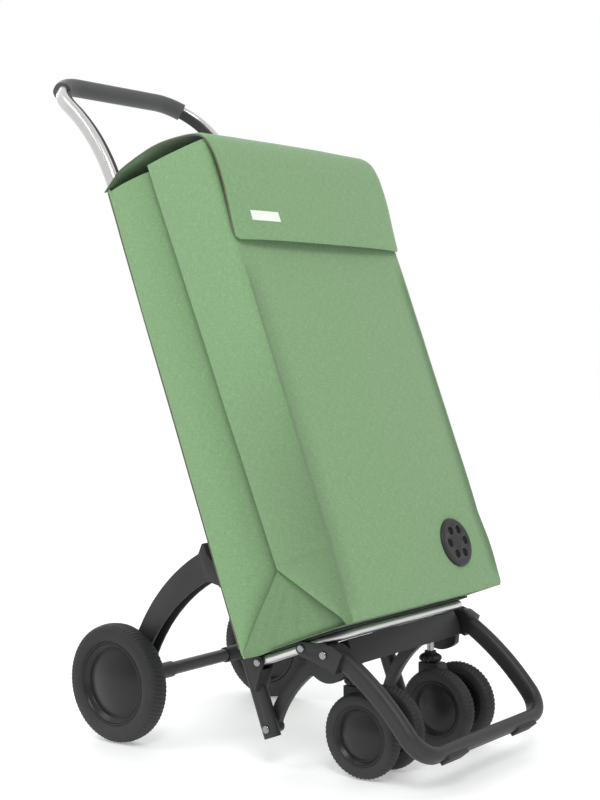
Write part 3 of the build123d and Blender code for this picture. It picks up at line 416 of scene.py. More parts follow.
def apply_modifier(piece, kind, **settings):
    """Adds a modifier, sets it and applies it."""
    only(piece)
    modifier = piece.modifiers.new(kind.lower(), kind)
    for key, value in settings.items():
        setattr(modifier, key, value)
    bpy.ops.object.modifier_apply(modifier=modifier.name)


def round_edges(piece, radius):
    """Rounds the sharp edges of a thin sheet that has been given its thickness."""
    apply_modifier(
        piece, "BEVEL", width=radius, segments=2, limit_method="ANGLE", angle_limit=math.radians(60),
    )


def smooth(piece, degrees=40):
    """Smooth shading up to an angle."""
    only(piece)
    bpy.ops.object.shade_smooth_by_angle(angle=math.radians(degrees))


def spline(points, count):
    """A smooth line through points, sampled evenly."""
    control = np.array([points[0], *points, points[-1]], float)
    line = []
    for k in range(len(points) - 1):
        a, b, c, d = control[k : k + 4]
        for t in np.linspace(0, 1, 24, endpoint=False):
            curve = 2 * b + (c - a) * t + (2 * a - 5 * b + 4 * c - d) * t**2
            line.append(0.5 * (curve + (3 * b - a - 3 * c + d) * t**3))
    line.append(control[-2])
    line = np.array(line)
    run = np.concatenate([[0], np.cumsum(np.linalg.norm(np.diff(line, axis=0), axis=1))])
    wanted = np.linspace(0, run[-1], count)
    return np.stack([np.interp(wanted, run, line[:, i]) for i in range(line.shape[1])], 1)


def turned(name, profile, centre, outward, steps, axis=(1, 0, 0)):
    """A closed outline, (outwards, radius), spun round an axis: X, or Z where outwards is up."""
    if axis[0]:
        points = [centre + Vector((outward * a, 0, r)) for a, r in profile]
    else:
        points = [centre + Vector((r, 0, outward * a)) for a, r in profile]
    last = len(points)
    piece = new_piece(name, points, edges=[(i, (i + 1) % last) for i in range(last)])
    only(piece)
    bpy.ops.object.mode_set(mode="EDIT")
    bpy.ops.mesh.select_all(action="SELECT")
    bpy.ops.mesh.spin(steps=steps, angle=2 * math.pi, center=centre, axis=axis)
    bpy.ops.mesh.select_all(action="SELECT")
    bpy.ops.mesh.remove_doubles(threshold=1e-6)
    bpy.ops.mesh.normals_make_consistent(inside=False)
    bpy.ops.object.mode_set(mode="OBJECT")
    return piece


def softened(node, radius, steps):
    """A copy of a moulded CAD node with its edges rounded."""
    source = frame["nodes"][node]
    piece = source.copy()
    piece.data = source.data.copy()
    piece.name = f"{node}_moulding"
    piece.parent = None
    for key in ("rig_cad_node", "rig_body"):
        if key in piece:
            del piece[key]
    bpy.context.scene.collection.objects.link(piece)
    only(piece)
    bpy.ops.object.mode_set(mode="EDIT")
    bpy.ops.mesh.select_all(action="SELECT")
    bpy.ops.mesh.customdata_custom_splitnormals_clear()
    bpy.ops.mesh.remove_doubles(threshold=2e-6)
    bpy.ops.mesh.dissolve_limited(angle_limit=math.radians(2))
    bpy.ops.object.mode_set(mode="OBJECT")
    apply_modifier(
        piece, "BEVEL", width=radius, segments=steps, limit_method="ANGLE", angle_limit=math.radians(38),
        use_clamp_overlap=True,
    )
    smooth(piece, 35)
    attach(piece, BODY_OF[node])
    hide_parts(node)
    dress(piece, SLOT_OF[node])
    return piece


# ---- cloth ------------------------------------------------------------------------------------

SIDE_ROUND = 9 * MM
RIM_BACK = 657 * MM
RIM_LAP = 661 * MM  # where the front half of a side panel laps over the rear half
RIM_FRONT = 650 * MM
PLEAT_TOP = 85 * MM  # ahead of the back, at the rim
PLEAT_APEX = (102 * MM, 92 * MM)  # ahead of the back, up, where the pleat meets the tucked triangle
TUCK = 7 * MM  # how far the triangle goes in under the front half
BAG_FLOOR = 0.4 * MM
TUCK_FOLDS = (((96, 62), (58, 12)), ((110, 54), (98, 10)), ((134, 36), (142, 8)))  # soft folds, in mm
HALF_STEPS = 34
TUCK_STEPS = 26


def bell(value, width):
    """1 at the middle, falling smoothly with distance."""
    return math.exp(-((value / width) ** 2))


def ramp(value, low, high):
    """0 below a range and 1 above it, smooth between."""
    share = min(1, max(0, (value - low) / (high - low)))
    return share * share * (3 - 2 * share)


def side_lines(up):
    """Where the rear half ends and the front half starts at a height, ahead of the back."""
    apex_ahead, apex_up = PLEAT_APEX
    if up >= apex_up:
        share = (up - apex_up) / (RIM_BACK - apex_up)
        crease = apex_ahead + (PLEAT_TOP - apex_ahead) * share
        return crease, crease
    share = up / apex_up
    front_start = BAG_DEEP - (BAG_DEEP - apex_ahead) * share
    return max(SIDE_ROUND, apex_ahead * share), min(BAG_DEEP - SIDE_ROUND, front_start)


def tuck_relief(ahead, up):
    """Soft folds across the tucked triangle."""
    total = 0.0
    for (a0, u0), (a1, u1) in TUCK_FOLDS:
        share = min(1, max(0, (u0 * MM - up) / ((u0 - u1) * MM)))
        off = ahead - (a0 + (a1 - a0) * share) * MM
        strength = ramp(up, 0, 8 * MM) * (1 - ramp(up, (u0 - 8) * MM, (u0 + 6) * MM))
        total += (1.5 * MM * bell(off, 4 * MM) - 1.3 * MM * bell(off - 8 * MM, 4 * MM)) * strength
    return total


def side_point(kind, share, up, pleat):
    """(ahead, relief) of a side panel's column at a height."""
    rear_end, front_start = side_lines(up)
    apex_up = PLEAT_APEX[1]
    lapped = ramp(up, apex_up - 6 * MM, apex_up + 30 * MM)
    depth = pleat * (1 - 0.25 * ramp(up, 450 * MM, RIM_BACK))
    if up < apex_up:
        depth = pleat * (0.25 + 0.75 * up / apex_up)
    over = ramp(up, apex_up, apex_up + 8 * MM)
    edge = 0.12 * depth * (1 - over) + depth * over
    if kind == "rear":
        ahead = SIDE_ROUND + (rear_end - SIDE_ROUND) * share
        return ahead, -depth * share**2 + 1.5 * MM * math.sin(math.pi * min(1, share * 1.5)) * lapped
    if kind == "tuck":
        lip = (0.5 + 0.4 * lapped) * MM * (1 - share)
        ahead = rear_end - lip + (front_start - rear_end) * share
        under = -edge - (TUCK + 0.5 * edge) * share**1.5
        return ahead, under + tuck_relief(ahead, up) * (1 - over)
    if kind == "under":
        return front_start + 3.5 * MM * ramp(up, 4 * MM, 20 * MM) + 0.1 * MM, -TUCK - 0.8 * edge
    start = front_start - 1.6 * MM * ramp(up, 2 * MM, 10 * MM)
    ahead = start + (BAG_DEEP - SIDE_ROUND - start) * share
    return ahead, -0.10 * depth * (1 - share) ** 3 + 1.6 * MM * math.sin(math.pi * share) * lapped


def side_columns():
    """The columns of a side panel from the back to the front."""
    rear = [("rear", t) for t in np.linspace(0, 1, HALF_STEPS) ** 0.8]
    tuck = [("tuck", t) for t in np.linspace(0, 1, TUCK_STEPS)]
    front = [("front", t) for t in np.linspace(0, 1, HALF_STEPS)]
    return [*rear, *tuck, ("under", 0), *front]


def painted_fold_shade(kind, share, up):
    """How much shade is painted on a column tucked into a fold, from 0 to 1."""
    over = ramp(up, PLEAT_APEX[1], PLEAT_APEX[1] + 8 * MM)
    if kind == "rear":
        low = 1 - ramp(up, 90 * MM, 380 * MM)
        return (0.55 * share**14 + (0.24 + 0.2 * low) * share**2.5) * ramp(up, -5 * MM, 40 * MM)
    if kind == "tuck":
        return 0.28 + 0.6 * share**8 if over < 1 else 1.0
    if kind == "under":
        return 1.0
    return (0.12 + 0.22 * share) * (1 - ramp(up, 110 * MM, 430 * MM))


def painted_valley_shade(x, up):
    """How much shade is painted on the front panel beside its front corners."""
    near = BAG_HALF - abs(x)
    line = 0.30 * bell(near - 9 * MM, 5 * MM) + 0.20 * bell(near - 14 * MM, 16 * MM)
    return line * (1 - ramp(up, 440 * MM, 505 * MM)) * ramp(up, 0, 45 * MM)


def front_relief(x, up, bulge):
    """How far the front panel stands out."""
    below = 1 - ramp(up, 470 * MM, 520 * MM)
    belly = bulge * math.sin(math.pi * min(1, up / (520 * MM))) * math.cos(x / BAG_HALF * math.pi / 2)
    valley = 2.6 * MM * bell(BAG_HALF - abs(x) - 17 * MM, 9 * MM) * ramp(up, 0, 40 * MM)
    return (belly - valley) * below


def waist(up):
    """How far the front corners swing in and out along the bag."""
    return 4.5 * MM * math.sin(math.pi * min(1, up / RIM_BACK)) - 6 * MM * bell(up - 62 * MM, 48 * MM)


def rim_height(kind, ahead):
    """The height of the rim, which notches where a side panel is pleated."""
    if kind in ("rear", "back"):
        return RIM_BACK - 1.5 * MM * ramp(ahead, 60 * MM, PLEAT_TOP)
    if kind in ("tuck", "under"):
        return RIM_BACK - 2 * MM
    share = min(1, max(0, (ahead - PLEAT_TOP) / (BAG_DEEP - PLEAT_TOP)))
    return RIM_LAP + (RIM_FRONT - RIM_LAP) * share


def ring_columns():
    """Round the bag once from the front's left end: each column's kind and where it is."""
    half, deep, turn = BAG_HALF, BAG_DEEP, SIDE_ROUND
    columns = [("face", x, deep, 0, 1) for x in np.linspace(-half + turn, half - turn, 46)]

    def corner(x, ahead, first):
        for step in (1, 2, 3, 4, 5):
            angle = math.radians(first - 90 * step / 6)
            nx, ny = math.cos(angle), math.sin(angle)
            columns.append(("corner", x + nx * turn, ahead + ny * turn, nx, ny))

    corner(half - turn, deep - turn, 90)
    columns.extend((kind, share, 1) for kind, share in reversed(side_columns()))
    corner(half - turn, turn, 0)
    columns.extend(("back", x, 0, 0, -1) for x in np.linspace(half - turn, -half + turn, 24))
    corner(-half + turn, turn, -90)
    columns.extend((kind, share, -1) for kind, share in side_columns())
    corner(-half + turn, deep - turn, 180)
    return columns


def bag_rows():
    """Heights from the floor to the rim as shares, close together over the triangle."""
    low = np.linspace(0, 0.155, 58)
    return [*low, *np.linspace(0.155, 1, 92)[1:]]


def bag_point(column, share, cloth):
    """A place on the bag's skin: x, ahead, up and the shade painted on it in folds and beside the front
    corners.
    """
    if len(column) == 3:
        kind, place, side = column
        rise = RIM_BACK * share
        ahead, relief = side_point(kind, place, rise, cloth.pleat)
        x, out_x, out_ahead = side * BAG_HALF, side, 0
        rim = rim_height(kind, ahead)
        painted_shade = painted_fold_shade(kind, place, rise)
    else:
        kind, x, ahead, out_x, out_ahead = column
        rim = rim_height(kind, ahead)
        relief = front_relief(x, RIM_BACK * share, cloth.bulge) if kind == "face" else 0.0
        painted_shade = painted_valley_shade(x, RIM_BACK * share) if kind == "face" else 0.0
        # painted shade: the front corners take the same shade as the front half of a side panel
        if kind == "corner" and out_ahead > 0:
            painted_shade = painted_fold_shade("front", 1, RIM_BACK * share)
    up = BAG_FLOOR + (rim - BAG_FLOOR) * share
    swing = ramp(ahead, 120 * MM, BAG_DEEP) * min(1, abs(x) / BAG_HALF) ** 3
    rumple = noise.noise(Vector((x * 9, ahead * 12, up * 5))) * 1.3 * MM
    rumple += noise.noise(Vector((x * 30 + 9, ahead * 34, up * 18))) * 0.45 * MM
    relief += rumple * ramp(share, 0, 0.1) * (0.3 if out_ahead < -0.5 else 1)
    relief -= 2.5 * MM * bell(up, 3.5 * MM)
    sag = 2.6 * MM * bell(ahead - 34 * MM, 24 * MM) * abs(out_x) * bell(up, 30 * MM)
    x += math.copysign(waist(up) * swing, x) + out_x * relief
    return x, ahead + out_ahead * relief, up - sag, painted_shade


def bag_shell(cloth):
    """The bag's outer skin as a grid of rows round it, closed by a floor, with the shade painted at each
    point.
    """
    columns = ring_columns()
    count = len(columns)
    points, maps, painted_shades = [], [], []
    for share in bag_rows():
        run, before = 0.0, None
        for column in columns:
            x, ahead, up, painted_shade = bag_point(column, share, cloth)
            painted_shades.append(painted_shade)
            if before:
                run += math.dist((x, ahead), before)
            before = (x, ahead)
            points.append(at(x, -ahead, up))
            maps.append((run, up))
    faces = []
    for row in range(len(points) // count - 1):
        for k in range(count):
            a, b = row * count + k, row * count + (k + 1) % count
            faces.append((a, a + count, b + count, b))
    faces.append(tuple(range(count)))
    return points, faces, maps, painted_shades


SEAM_JUMP = 0.5  # a face wider than this on the map crosses its seam


def map_cloth(piece, maps):
    """Gives a cloth piece its own flat map, in metres."""
    layer = piece.data.uv_layers.new(name="cloth")
    for face in piece.data.polygons:
        places = [maps[v] for v in face.vertices]
        widest = max(u for u, _ in places)
        for k, (u, v) in zip(face.loop_indices, places):
            layer.data[k].uv = (u + widest if widest - u > SEAM_JUMP else u, v)


def face_outwards(piece):
    """Recalculates the normals to point outwards."""
    only(piece)
    bpy.ops.object.mode_set(mode="EDIT")
    bpy.ops.mesh.select_all(action="SELECT")
    bpy.ops.mesh.normals_make_consistent(inside=False)
    bpy.ops.object.mode_set(mode="OBJECT")


class TROLLEY_OT_bag(bpy.types.Operator):
    """Builds the pleated cloth bag"""

    bl_idname = "trolley.bag"
    bl_label = "Cloth bag"

    def execute(self, context):
        cloth = context.scene.trolley_cloth
        points, faces, maps, painted_shades = bag_shell(cloth)
        bag = new_piece("cloth_bag", points, faces)
        map_cloth(bag, maps)
        # painted shade: the fold attribute holds how dark each point of the bag is painted in its creases
        # and corners
        bag.data.attributes.new("fold", "FLOAT", "POINT").data.foreach_set("value", painted_shades)
        face_outwards(bag)
        apply_modifier(bag, "SOLIDIFY", thickness=cloth.thick, offset=-1)
        smooth(bag, 50)
        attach(bag, "frame")
        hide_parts("bag_body")
        dress(bag, "green_fabric")
        fold_away(bag)
        return {"FINISHED"}


def fold_away(piece):
    """Gives a soft piece its own copy of its mesh."""
    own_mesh(piece)


FLAP_HALF = 184 * MM
FLAP_ROWS = 70
FLAP_COLUMNS = 72
FLAP_LINE = (  # ahead of the back, up: over the top and down the front
    (-1, 660.5), (12, 666.5), (40, 677.5), (104, 681), (156, 671.5), (188, 657), (200.5, 630), (202, 588),
    (198, 540), (194.6, 505),
)


def flap_surface(x, share, line):
    """A point of the flap's outer face, and its outward direction in the leaning frame."""
    place = share * (len(line) - 1)
    k = min(int(place), len(line) - 2)
    point = line[k] + (line[k + 1] - line[k]) * (place - k)
    along = line[k + 1] - line[k]
    out = np.array([-along[1], along[0]]) / np.linalg.norm(along)
    side = abs(x) / FLAP_HALF
    crown = (1 - side**2) * 2.0 * MM * math.sin(math.pi * min(1, share * 1.1))
    droop = -2.6 * MM * max(0, side - 0.93) / 0.07 * (math.sin(math.pi * share) + ramp(share, 0.7, 1))
    belly = 7.5 * MM * (1 - side**4) * ramp(share, 0.72, 1)
    rumple = noise.noise(Vector((x * 13, share * 5, 4))) * 1.0 * MM * math.sin(math.pi * share)
    lift = crown + droop + belly + rumple
    return point + out * lift, out


def flap_point(x, share, line, lift):
    """A point of the flap's outer face, lifted off it, in metres."""
    (ahead, up), out = flap_surface(x, share, line)
    return at(x, -(ahead + out[0] * lift), up + out[1] * lift)


def grid_faces(rows, columns):
    """The faces of a grid of points, row by row."""
    wide = columns + 1
    return [
        (r * wide + c, r * wide + c + 1, (r + 1) * wide + c + 1, (r + 1) * wide + c)
        for r in range(rows)
        for c in range(columns)
    ]


def flap_line():
    """The flap's middle line, sampled evenly."""
    return spline([(a * MM, b * MM) for a, b in FLAP_LINE], FLAP_ROWS + 1)


HEM = 13 * MM
HEM_CORNER = 7 * MM
HEM_LIFT = 0.7 * MM  # the turned hem stands this proud
HEM_GROOVE = 0.9 * MM  # and its stitches draw the cloth in by this


def hem_corner(left):
    """How much narrower the flap's half is where its front corners are rounded."""
    return HEM_CORNER - math.sqrt(max(0, HEM_CORNER**2 - max(0, HEM_CORNER - left) ** 2))


class TROLLEY_OT_flap(bpy.types.Operator):
    """Builds the cloth flap over the bag, with its turned hem"""

    bl_idname = "trolley.flap"
    bl_label = "Cloth flap"

    def execute(self, context):
        cloth = context.scene.trolley_cloth
        line = flap_line()
        long = line_length(line)
        points, maps = [], []
        for row in range(FLAP_ROWS + 1):
            share = row / FLAP_ROWS
            left = (1 - share) * long
            half = FLAP_HALF - hem_corner(left)
            for column in range(FLAP_COLUMNS + 1):
                x = (2 * column / FLAP_COLUMNS - 1) * half
                edge = min(left, half - abs(x))
                fold = (HEM_LIFT if edge < HEM else 0) - HEM_GROOVE * bell(edge - HEM, 1.5 * MM)
                points.append(flap_point(x, share, line, fold))
                maps.append((x, share * long))
        flap = new_piece("cloth_flap", points, grid_faces(FLAP_ROWS, FLAP_COLUMNS))
        map_cloth(flap, maps)
        turn_sheet(flap)
        apply_modifier(flap, "SOLIDIFY", thickness=cloth.thick, offset=-1)
        round_edges(flap, 0.5 * MM)
        smooth(flap, 50)
        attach(flap, "flap")
        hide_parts("bag_flap")
        dress(flap, "green_fabric")
        fold_away(flap)
        return {"FINISHED"}


INSIDE_FLAP = (0, -80 * MM, 550 * MM)  # a place under the flap, in the leaning frame


def turn_sheet(piece):
    """Makes a sheet's faces look up and ahead, away from the bag's middle."""
    inside = at(*INSIDE_FLAP)
    wrong = sum(1 if f.normal.dot(f.center - inside) < 0 else -1 for f in piece.data.polygons)
    if wrong > 0:
        piece.data.flip_normals()


LABEL_MIDDLE, LABEL_WIDE, LABEL_HIGH = -122 * MM, 56 * MM, 14 * MM
LABEL_SHARE = 0.905  # how far down the flap's line its middle is
LABEL_ROWS, LABEL_COLUMNS = 8, 22
LABEL_LIFT = 0.9 * MM
LABEL_THICK = 0.8 * MM


class TROLLEY_OT_label(bpy.types.Operator):
    """Builds the small blank patch that follows the flap's face"""

    bl_idname = "trolley.label"
    bl_label = "Blank label"

    def execute(self, context):
        line = flap_line()
        high = LABEL_HIGH / line_length(line)
        points = []
        for row in range(LABEL_ROWS + 1):
            share = LABEL_SHARE + (row / LABEL_ROWS - 0.5) * high
            for column in range(LABEL_COLUMNS + 1):
                x = LABEL_MIDDLE + (column / LABEL_COLUMNS - 0.5) * LABEL_WIDE
                points.append(flap_point(x, share, line, LABEL_LIFT))
        label = new_piece("blank_label", points, grid_faces(LABEL_ROWS, LABEL_COLUMNS))
        turn_sheet(label)
        apply_modifier(label, "SOLIDIFY", thickness=LABEL_THICK, offset=-1)
        round_edges(label, 0.3 * MM)
        smooth(label, 50)
        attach(label, "flap")
        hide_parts("flap_label")
        dress(label, "label_patch")
        fold_away(label)
        return {"FINISHED"}


def strand(points, radius, sides=6):
    """Points and faces of a thin closed strand along a line."""
    made, faces = [], []
    for k, point in enumerate(points):
        along = (points[min(k + 1, len(points) - 1)] - points[max(k - 1, 0)]).normalized()
        across = along.cross(Vector((1, 0.13, 0.07))).normalized()
        other = along.cross(across)
        for j in range(sides):
            turn = 2 * math.pi * j / sides
            made.append(point + (across * math.cos(turn) + other * math.sin(turn)) * radius)
    for k in range(len(points) - 1):
        for j in range(sides):
            a, b = k * sides + j, k * sides + (j + 1) % sides
            faces.append((a, b, b + sides, a + sides))
    faces.append(tuple(reversed(range(sides))))
    faces.append(tuple(range(len(made) - sides, len(made))))
    return made, faces


def strands(name, lines, radius, body, finish):
    """One piece made of several strands, attached to a body and given its own mesh."""
    points, faces = [], []
    for line in lines:
        more, sides = strand(line, radius)
        faces += [tuple(i + len(points) for i in f) for f in sides]
        points += more
    piece = new_piece(name, points, faces)
    face_outwards(piece)
    smooth(piece, 50)
    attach(piece, body)
    dress(piece, "green_fabric")
    piece.data.materials[0] = finish
    fold_away(piece)


BINDING_R = 1.1 * MM
BINDING_SINK = 0.7 * MM  # how far the binding sits in the flap's edge
STITCH_LIFT = 0.1 * MM
STITCH_LONG, STITCH_GAP, STITCH_R = 3.4 * MM, 1.6 * MM, 0.35 * MM
STITCH_IN = 8 * MM  # from the hem up to its stitches


def flap_edge(side, line):
    """Points along one bound edge of the flap, from the back to where the front hem turns."""
    points = []
    for share in np.linspace(0, 0.965, 70):
        points.append(flap_point(side * FLAP_HALF, share, line, -BINDING_SINK))
    return points


class TROLLEY_OT_sewing(bpy.types.Operator):
    """Builds the bound edges and the stitches of the bag and flap"""

    bl_idname = "trolley.sewing"
    bl_label = "Binding and stitches"

    def execute(self, context):
        cloth = context.scene.trolley_cloth
        line = flap_line()
        binding = moulded("edge binding", (0.10, 0.095, 0.07), 0.8, 900.0, 0.3, dust=0.0)
        strands("flap_binding", [flap_edge(side, line) for side in (-1, 1)], BINDING_R, "flap", binding)
        backs = []
        for side in (-1, 1):
            column = ("corner", side * BAG_HALF - side * 2.2 * MM, 2.2 * MM, side * 0.7, -0.7)
            backs.append([])
            for share in np.linspace(0.02, 0.995, 90):
                x, ahead, up, _ = bag_point(column, share, cloth)
                backs[-1].append(at(x, -ahead, up))
        strands("bag_binding", backs, BINDING_R, "frame", binding)
        thread = moulded("sewing thread", (0.30, 0.42, 0.27), 0.7, 900.0, 0.2, dust=0.0)
        stitches = []
        share = 1 - STITCH_IN / line_length(line)
        start = -FLAP_HALF + 9 * MM
        while start < FLAP_HALF - 12 * MM:
            stitch = []
            for x in np.linspace(start, start + STITCH_LONG, 4):
                stitch.append(flap_point(x, share, line, STITCH_LIFT))
            stitches.append(stitch)
            start += STITCH_LONG + STITCH_GAP
        strands("hem_stitches", stitches, STITCH_R, "flap", thread)
        return {"FINISHED"}


def line_length(line):
    """How long a sampled line is."""
    return float(np.sum(np.linalg.norm(np.diff(line, axis=0), axis=1)))


# ---- wheels -----------------------------------------------------------------------------------


SEAT_SHARE = 0.70  # of the wheel's radius, where the tyre sits on its hub
TYRE_SIDE = (  # half a tyre's section: share of its half width, height above the seat
    (0.80, 0.0), (0.86, 0.020), (0.955, 0.045), (1.0, 0.10), (0.985, 0.165),
    (0.90, 0.225), (0.74, 0.262), (0.5, 0.284), (0.25, 0.293), (0.0, 0.295),
)
TREAD_FROM, TREAD_FADE = 0.925, 0.045  # of the radius: where the tread starts and is full
TREAD_SLANT = 4.2  # radians that a knob leans over across half the tyre
RIB_AT, RIB_WIDE = 0.34, 0.09  # of the half width: the solid ribs beside the middle
TWIN_DOME = 0.72  # a caster wheel's dome as a share of a rear wheel's


def tyre_outline(half, radius, seat):
    """(outwards, radius) once round a tyre's section."""
    scale = (radius - seat) / TYRE_SIDE[-1][1]
    outer = [(a * half, seat + b * scale) for a, b in TYRE_SIDE]
    line = spline(outer, 22)
    mirrored = [(-a, r) for a, r in line[-2::-1]]
    return [tuple(p) for p in line] + mirrored


def make_tyre(name, node, body, outward, wheels):
    """A foam tyre with an oblique knobbed tread."""
    low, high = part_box(node)
    centre, radius = (low + high) / 2, (high.z - low.z) / 2
    half = (high.x - low.x) / 2
    knobs = round(2 * math.pi * radius / wheels.pitch)
    tyre = turned(name, tyre_outline(half, radius, radius * SEAT_SHARE), centre, outward, knobs * 5)
    for vertex in tyre.data.vertices:
        offset = vertex.co - centre
        reach = math.hypot(offset.y, offset.z)
        worn = (reach / radius - TREAD_FROM) / TREAD_FADE
        if worn <= 0:
            continue
        angle = math.atan2(offset.z, offset.y)
        lean = offset.x * outward / half
        wave = math.sin(knobs * angle + TREAD_SLANT * abs(lean) * math.copysign(1, lean))
        groove = 0.5 - 0.5 * math.tanh(2.6 * wave)
        rib = bell(abs(lean) - RIB_AT, RIB_WIDE)
        cut = wheels.tread * min(1, worn) * max(groove, 0.8 * rib)
        shrink = (reach - cut) / reach
        vertex.co = centre + Vector((offset.x, offset.y * shrink, offset.z * shrink))
    smooth(tyre, 60)
    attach(tyre, body)
    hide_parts(node)
    dress(tyre, "foam_tyre")


def dome_points(seat_at, radius, rise, count):
    """From the rim of a dome to its middle, (outwards, radius)."""
    sphere = (radius**2 + rise**2) / (2 * rise)
    spread_angle = math.asin(radius / sphere)
    return [
        (seat_at + rise - sphere * (1 - math.cos(a)), sphere * math.sin(a))
        for a in np.linspace(spread_angle, 0.0008, count)
    ]


def wheel_face(half, radius, dome_rise):
    """The hub's outline: a ringed rim, a dished band and a dome, with a plain inner face."""
    seat = radius * SEAT_SHARE
    band = radius * 0.575
    base = half * 0.42
    face = [
        (-half * 0.85, seat - 0.2 * MM), (half * 0.80, seat - 0.2 * MM), (half * 0.84, seat - 1.4 * MM),
        (half * 0.84, seat - 2.6 * MM), (half * 0.70, seat - 3.6 * MM), (half * 0.66, seat - 4.4 * MM),
        (base + 1.0 * MM, band + 1.4 * MM), (base, band + 0.6 * MM), (base, band),
    ]
    dome = dome_points(base, band, dome_rise, 16)
    back = [
        (-half * 0.1, 0.0008), (-half * 0.1, seat * 0.18), (-half * 0.75, seat * 0.18),
        (-half * 0.75, seat * 0.26), (-half * 0.1, seat * 0.30), (-half * 0.1, seat - 6 * MM),
        (-half * 0.85, seat - 3.5 * MM),
    ]
    return face + dome + back


def make_face(name, nodes, tyre_node, body, outward, rise):
    """A wheel's hub with its dome."""
    low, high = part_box(tyre_node)
    centre, radius = (low + high) / 2, (high.z - low.z) / 2
    hub = turned(name, wheel_face((high.x - low.x) / 2, radius, rise), centre, outward, 96)
    smooth(hub, 30)
    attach(hub, body)
    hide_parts(*nodes)
    dress(hub, "wheel_plastic")


class TROLLEY_OT_wheels(bpy.types.Operator):
    """Builds the tyres and the domed wheel faces"""

    bl_idname = "trolley.wheels"
    bl_label = "Wheels"

    def execute(self, context):
        wheels = context.scene.trolley_wheels
        for side, sign in SIDES.items():
            tyre = f"{side}_rear_tyre"
            body = f"{side}_rear_wheel"
            make_tyre(f"{side}_rear_foam_tyre", tyre, body, sign, wheels)
            hubs = [f"{side}_rear_hub", f"{side}_rear_cap"]
            make_face(f"{side}_rear_face", hubs, tyre, body, sign, wheels.dome)
            for place, outward in (("outer", sign), ("inner", -sign)):
                tyre = f"{side}_caster_{place}_tyre"
                body = f"{side}_caster_{place}_wheel"
                make_tyre(f"{side}_caster_{place}_foam_tyre", tyre, body, outward, wheels)
                hub = f"{side}_caster_{place}_hub"
                make_face(f"{side}_caster_{place}_face", [hub], tyre, body, outward, wheels.dome * TWIN_DOME)
        return {"FINISHED"}


# ---- hard pieces ------------------------------------------------------------------------------

MOULDINGS = ("leg", "brace", "front_bracket", "rear_arm", "caster_yoke")  # one on each side
SINGLE_MOULDINGS = ("caster_beam", "base_board", "hoop_pads", "bag_hooks")
VENT_SOFTEN = 0.6  # the vent disc's edges are this much of the others' rounding


class TROLLEY_OT_mouldings(bpy.types.Operator):
    """Rounds the edges of the moulded plastic pieces"""

    bl_idname = "trolley.mouldings"
    bl_label = "Mouldings"

    def execute(self, context):
        hard = context.scene.trolley_hard
        nodes = [f"{side}_{name}" for side in SIDES for name in MOULDINGS] + list(SINGLE_MOULDINGS)
        for node in nodes:
            softened(node, hard.soften, hard.segments)
        fold_away(softened("vent_disc", hard.soften * VENT_SOFTEN, hard.segments))
        return {"FINISHED"}


COLLAR_LINE = (  # radius, up, in mm
    (6, 0), (9.5, 0.3), (13.6, 2.2), (15, 5), (14.6, 8),
    (12.4, 10.5), (9.2, 12.2), (8.2, 14.0), (7.6, 16.0), (5.1, 16.0),
)
COLLAR_HIGH = 16 * MM
COLLAR_BORE = 0.2 * MM
COLLAR_RIBS = 14


class TROLLEY_OT_collars(bpy.types.Operator):
    """Builds the ribbed collars round the caster stems"""

    bl_idname = "trolley.collars"
    bl_label = "Caster collars"

    def execute(self, context):
        for side in SIDES:
            node = f"{side}_caster_collar"
            low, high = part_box(node)
            centre = (low + high) / 2
            foot = Vector((centre.x, centre.y, low.z))
            line = [(z, r) for r, z in spline([(r * MM, z * MM) for r, z in COLLAR_LINE], 20)]
            line += [(COLLAR_HIGH, COLLAR_BORE), (0, COLLAR_BORE)]
            collar = turned(f"{side}_ribbed_collar", line, foot, 1, COLLAR_RIBS * 8, (0, 0, 1))
            for vertex in collar.data.vertices:
                off = vertex.co - foot
                radius = math.hypot(off.x, off.y)
                rib = 0.9 * MM * math.cos(COLLAR_RIBS * math.atan2(off.y, off.x))
                swell = 1 + rib * max(0, (radius - 10 * MM) / (5 * MM)) / max(radius, MM)
                vertex.co = foot + Vector((off.x * swell, off.y * swell, off.z))
            smooth(collar, 40)
            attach(collar, BODY_OF[node])
            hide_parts(node)
            dress(collar, "black_plastic")
        return {"FINISHED"}


class TROLLEY_OT_finishes(bpy.types.Operator):
    """Gives every carried-over piece its finish"""

    bl_idname = "trolley.finishes"
    bl_label = "Finishes"

    def execute(self, context):
        for name, node in frame["nodes"].items():
            node.data.materials.clear()
            node.data.materials.append(FINISHES[SLOT_OF[name]])
        return {"FINISHED"}


# ---- stage ------------------------------------------------------------------------------------

CAMERA_PLACE = Vector((-1.6350, -1.2969, 0.5449))
CAMERA_TURN = math.radians(52.12)
CAMERA_DIP = math.radians(1.94)
CAMERA_ROLL = math.radians(-0.54)
CAMERA_LENS = 66.8
FLOOR_SIZE = 30.0


def aim_camera():
    """A camera at the viewing angle."""
    data = bpy.data.cameras.new("camera")
    data.lens = CAMERA_LENS
    data.sensor_width = 36
    camera = bpy.data.objects.new("camera", data)
    bpy.context.scene.collection.objects.link(camera)
    flat = math.cos(CAMERA_DIP)
    back = Vector((-math.sin(CAMERA_TURN) * flat, -math.cos(CAMERA_TURN) * flat, math.sin(CAMERA_DIP)))
    level = Vector((0, 0, 1)).cross(back).normalized()
    upright = back.cross(level)
    right = level * math.cos(CAMERA_ROLL) + upright * math.sin(CAMERA_ROLL)
    top = upright * math.cos(CAMERA_ROLL) - level * math.sin(CAMERA_ROLL)
    camera.matrix_world = Matrix((
        (right.x, top.x, back.x, CAMERA_PLACE.x),
        (right.y, top.y, back.y, CAMERA_PLACE.y),
        (right.z, top.z, back.z, CAMERA_PLACE.z),
        (0, 0, 0, 1),
    ))
    bpy.context.scene.camera = camera


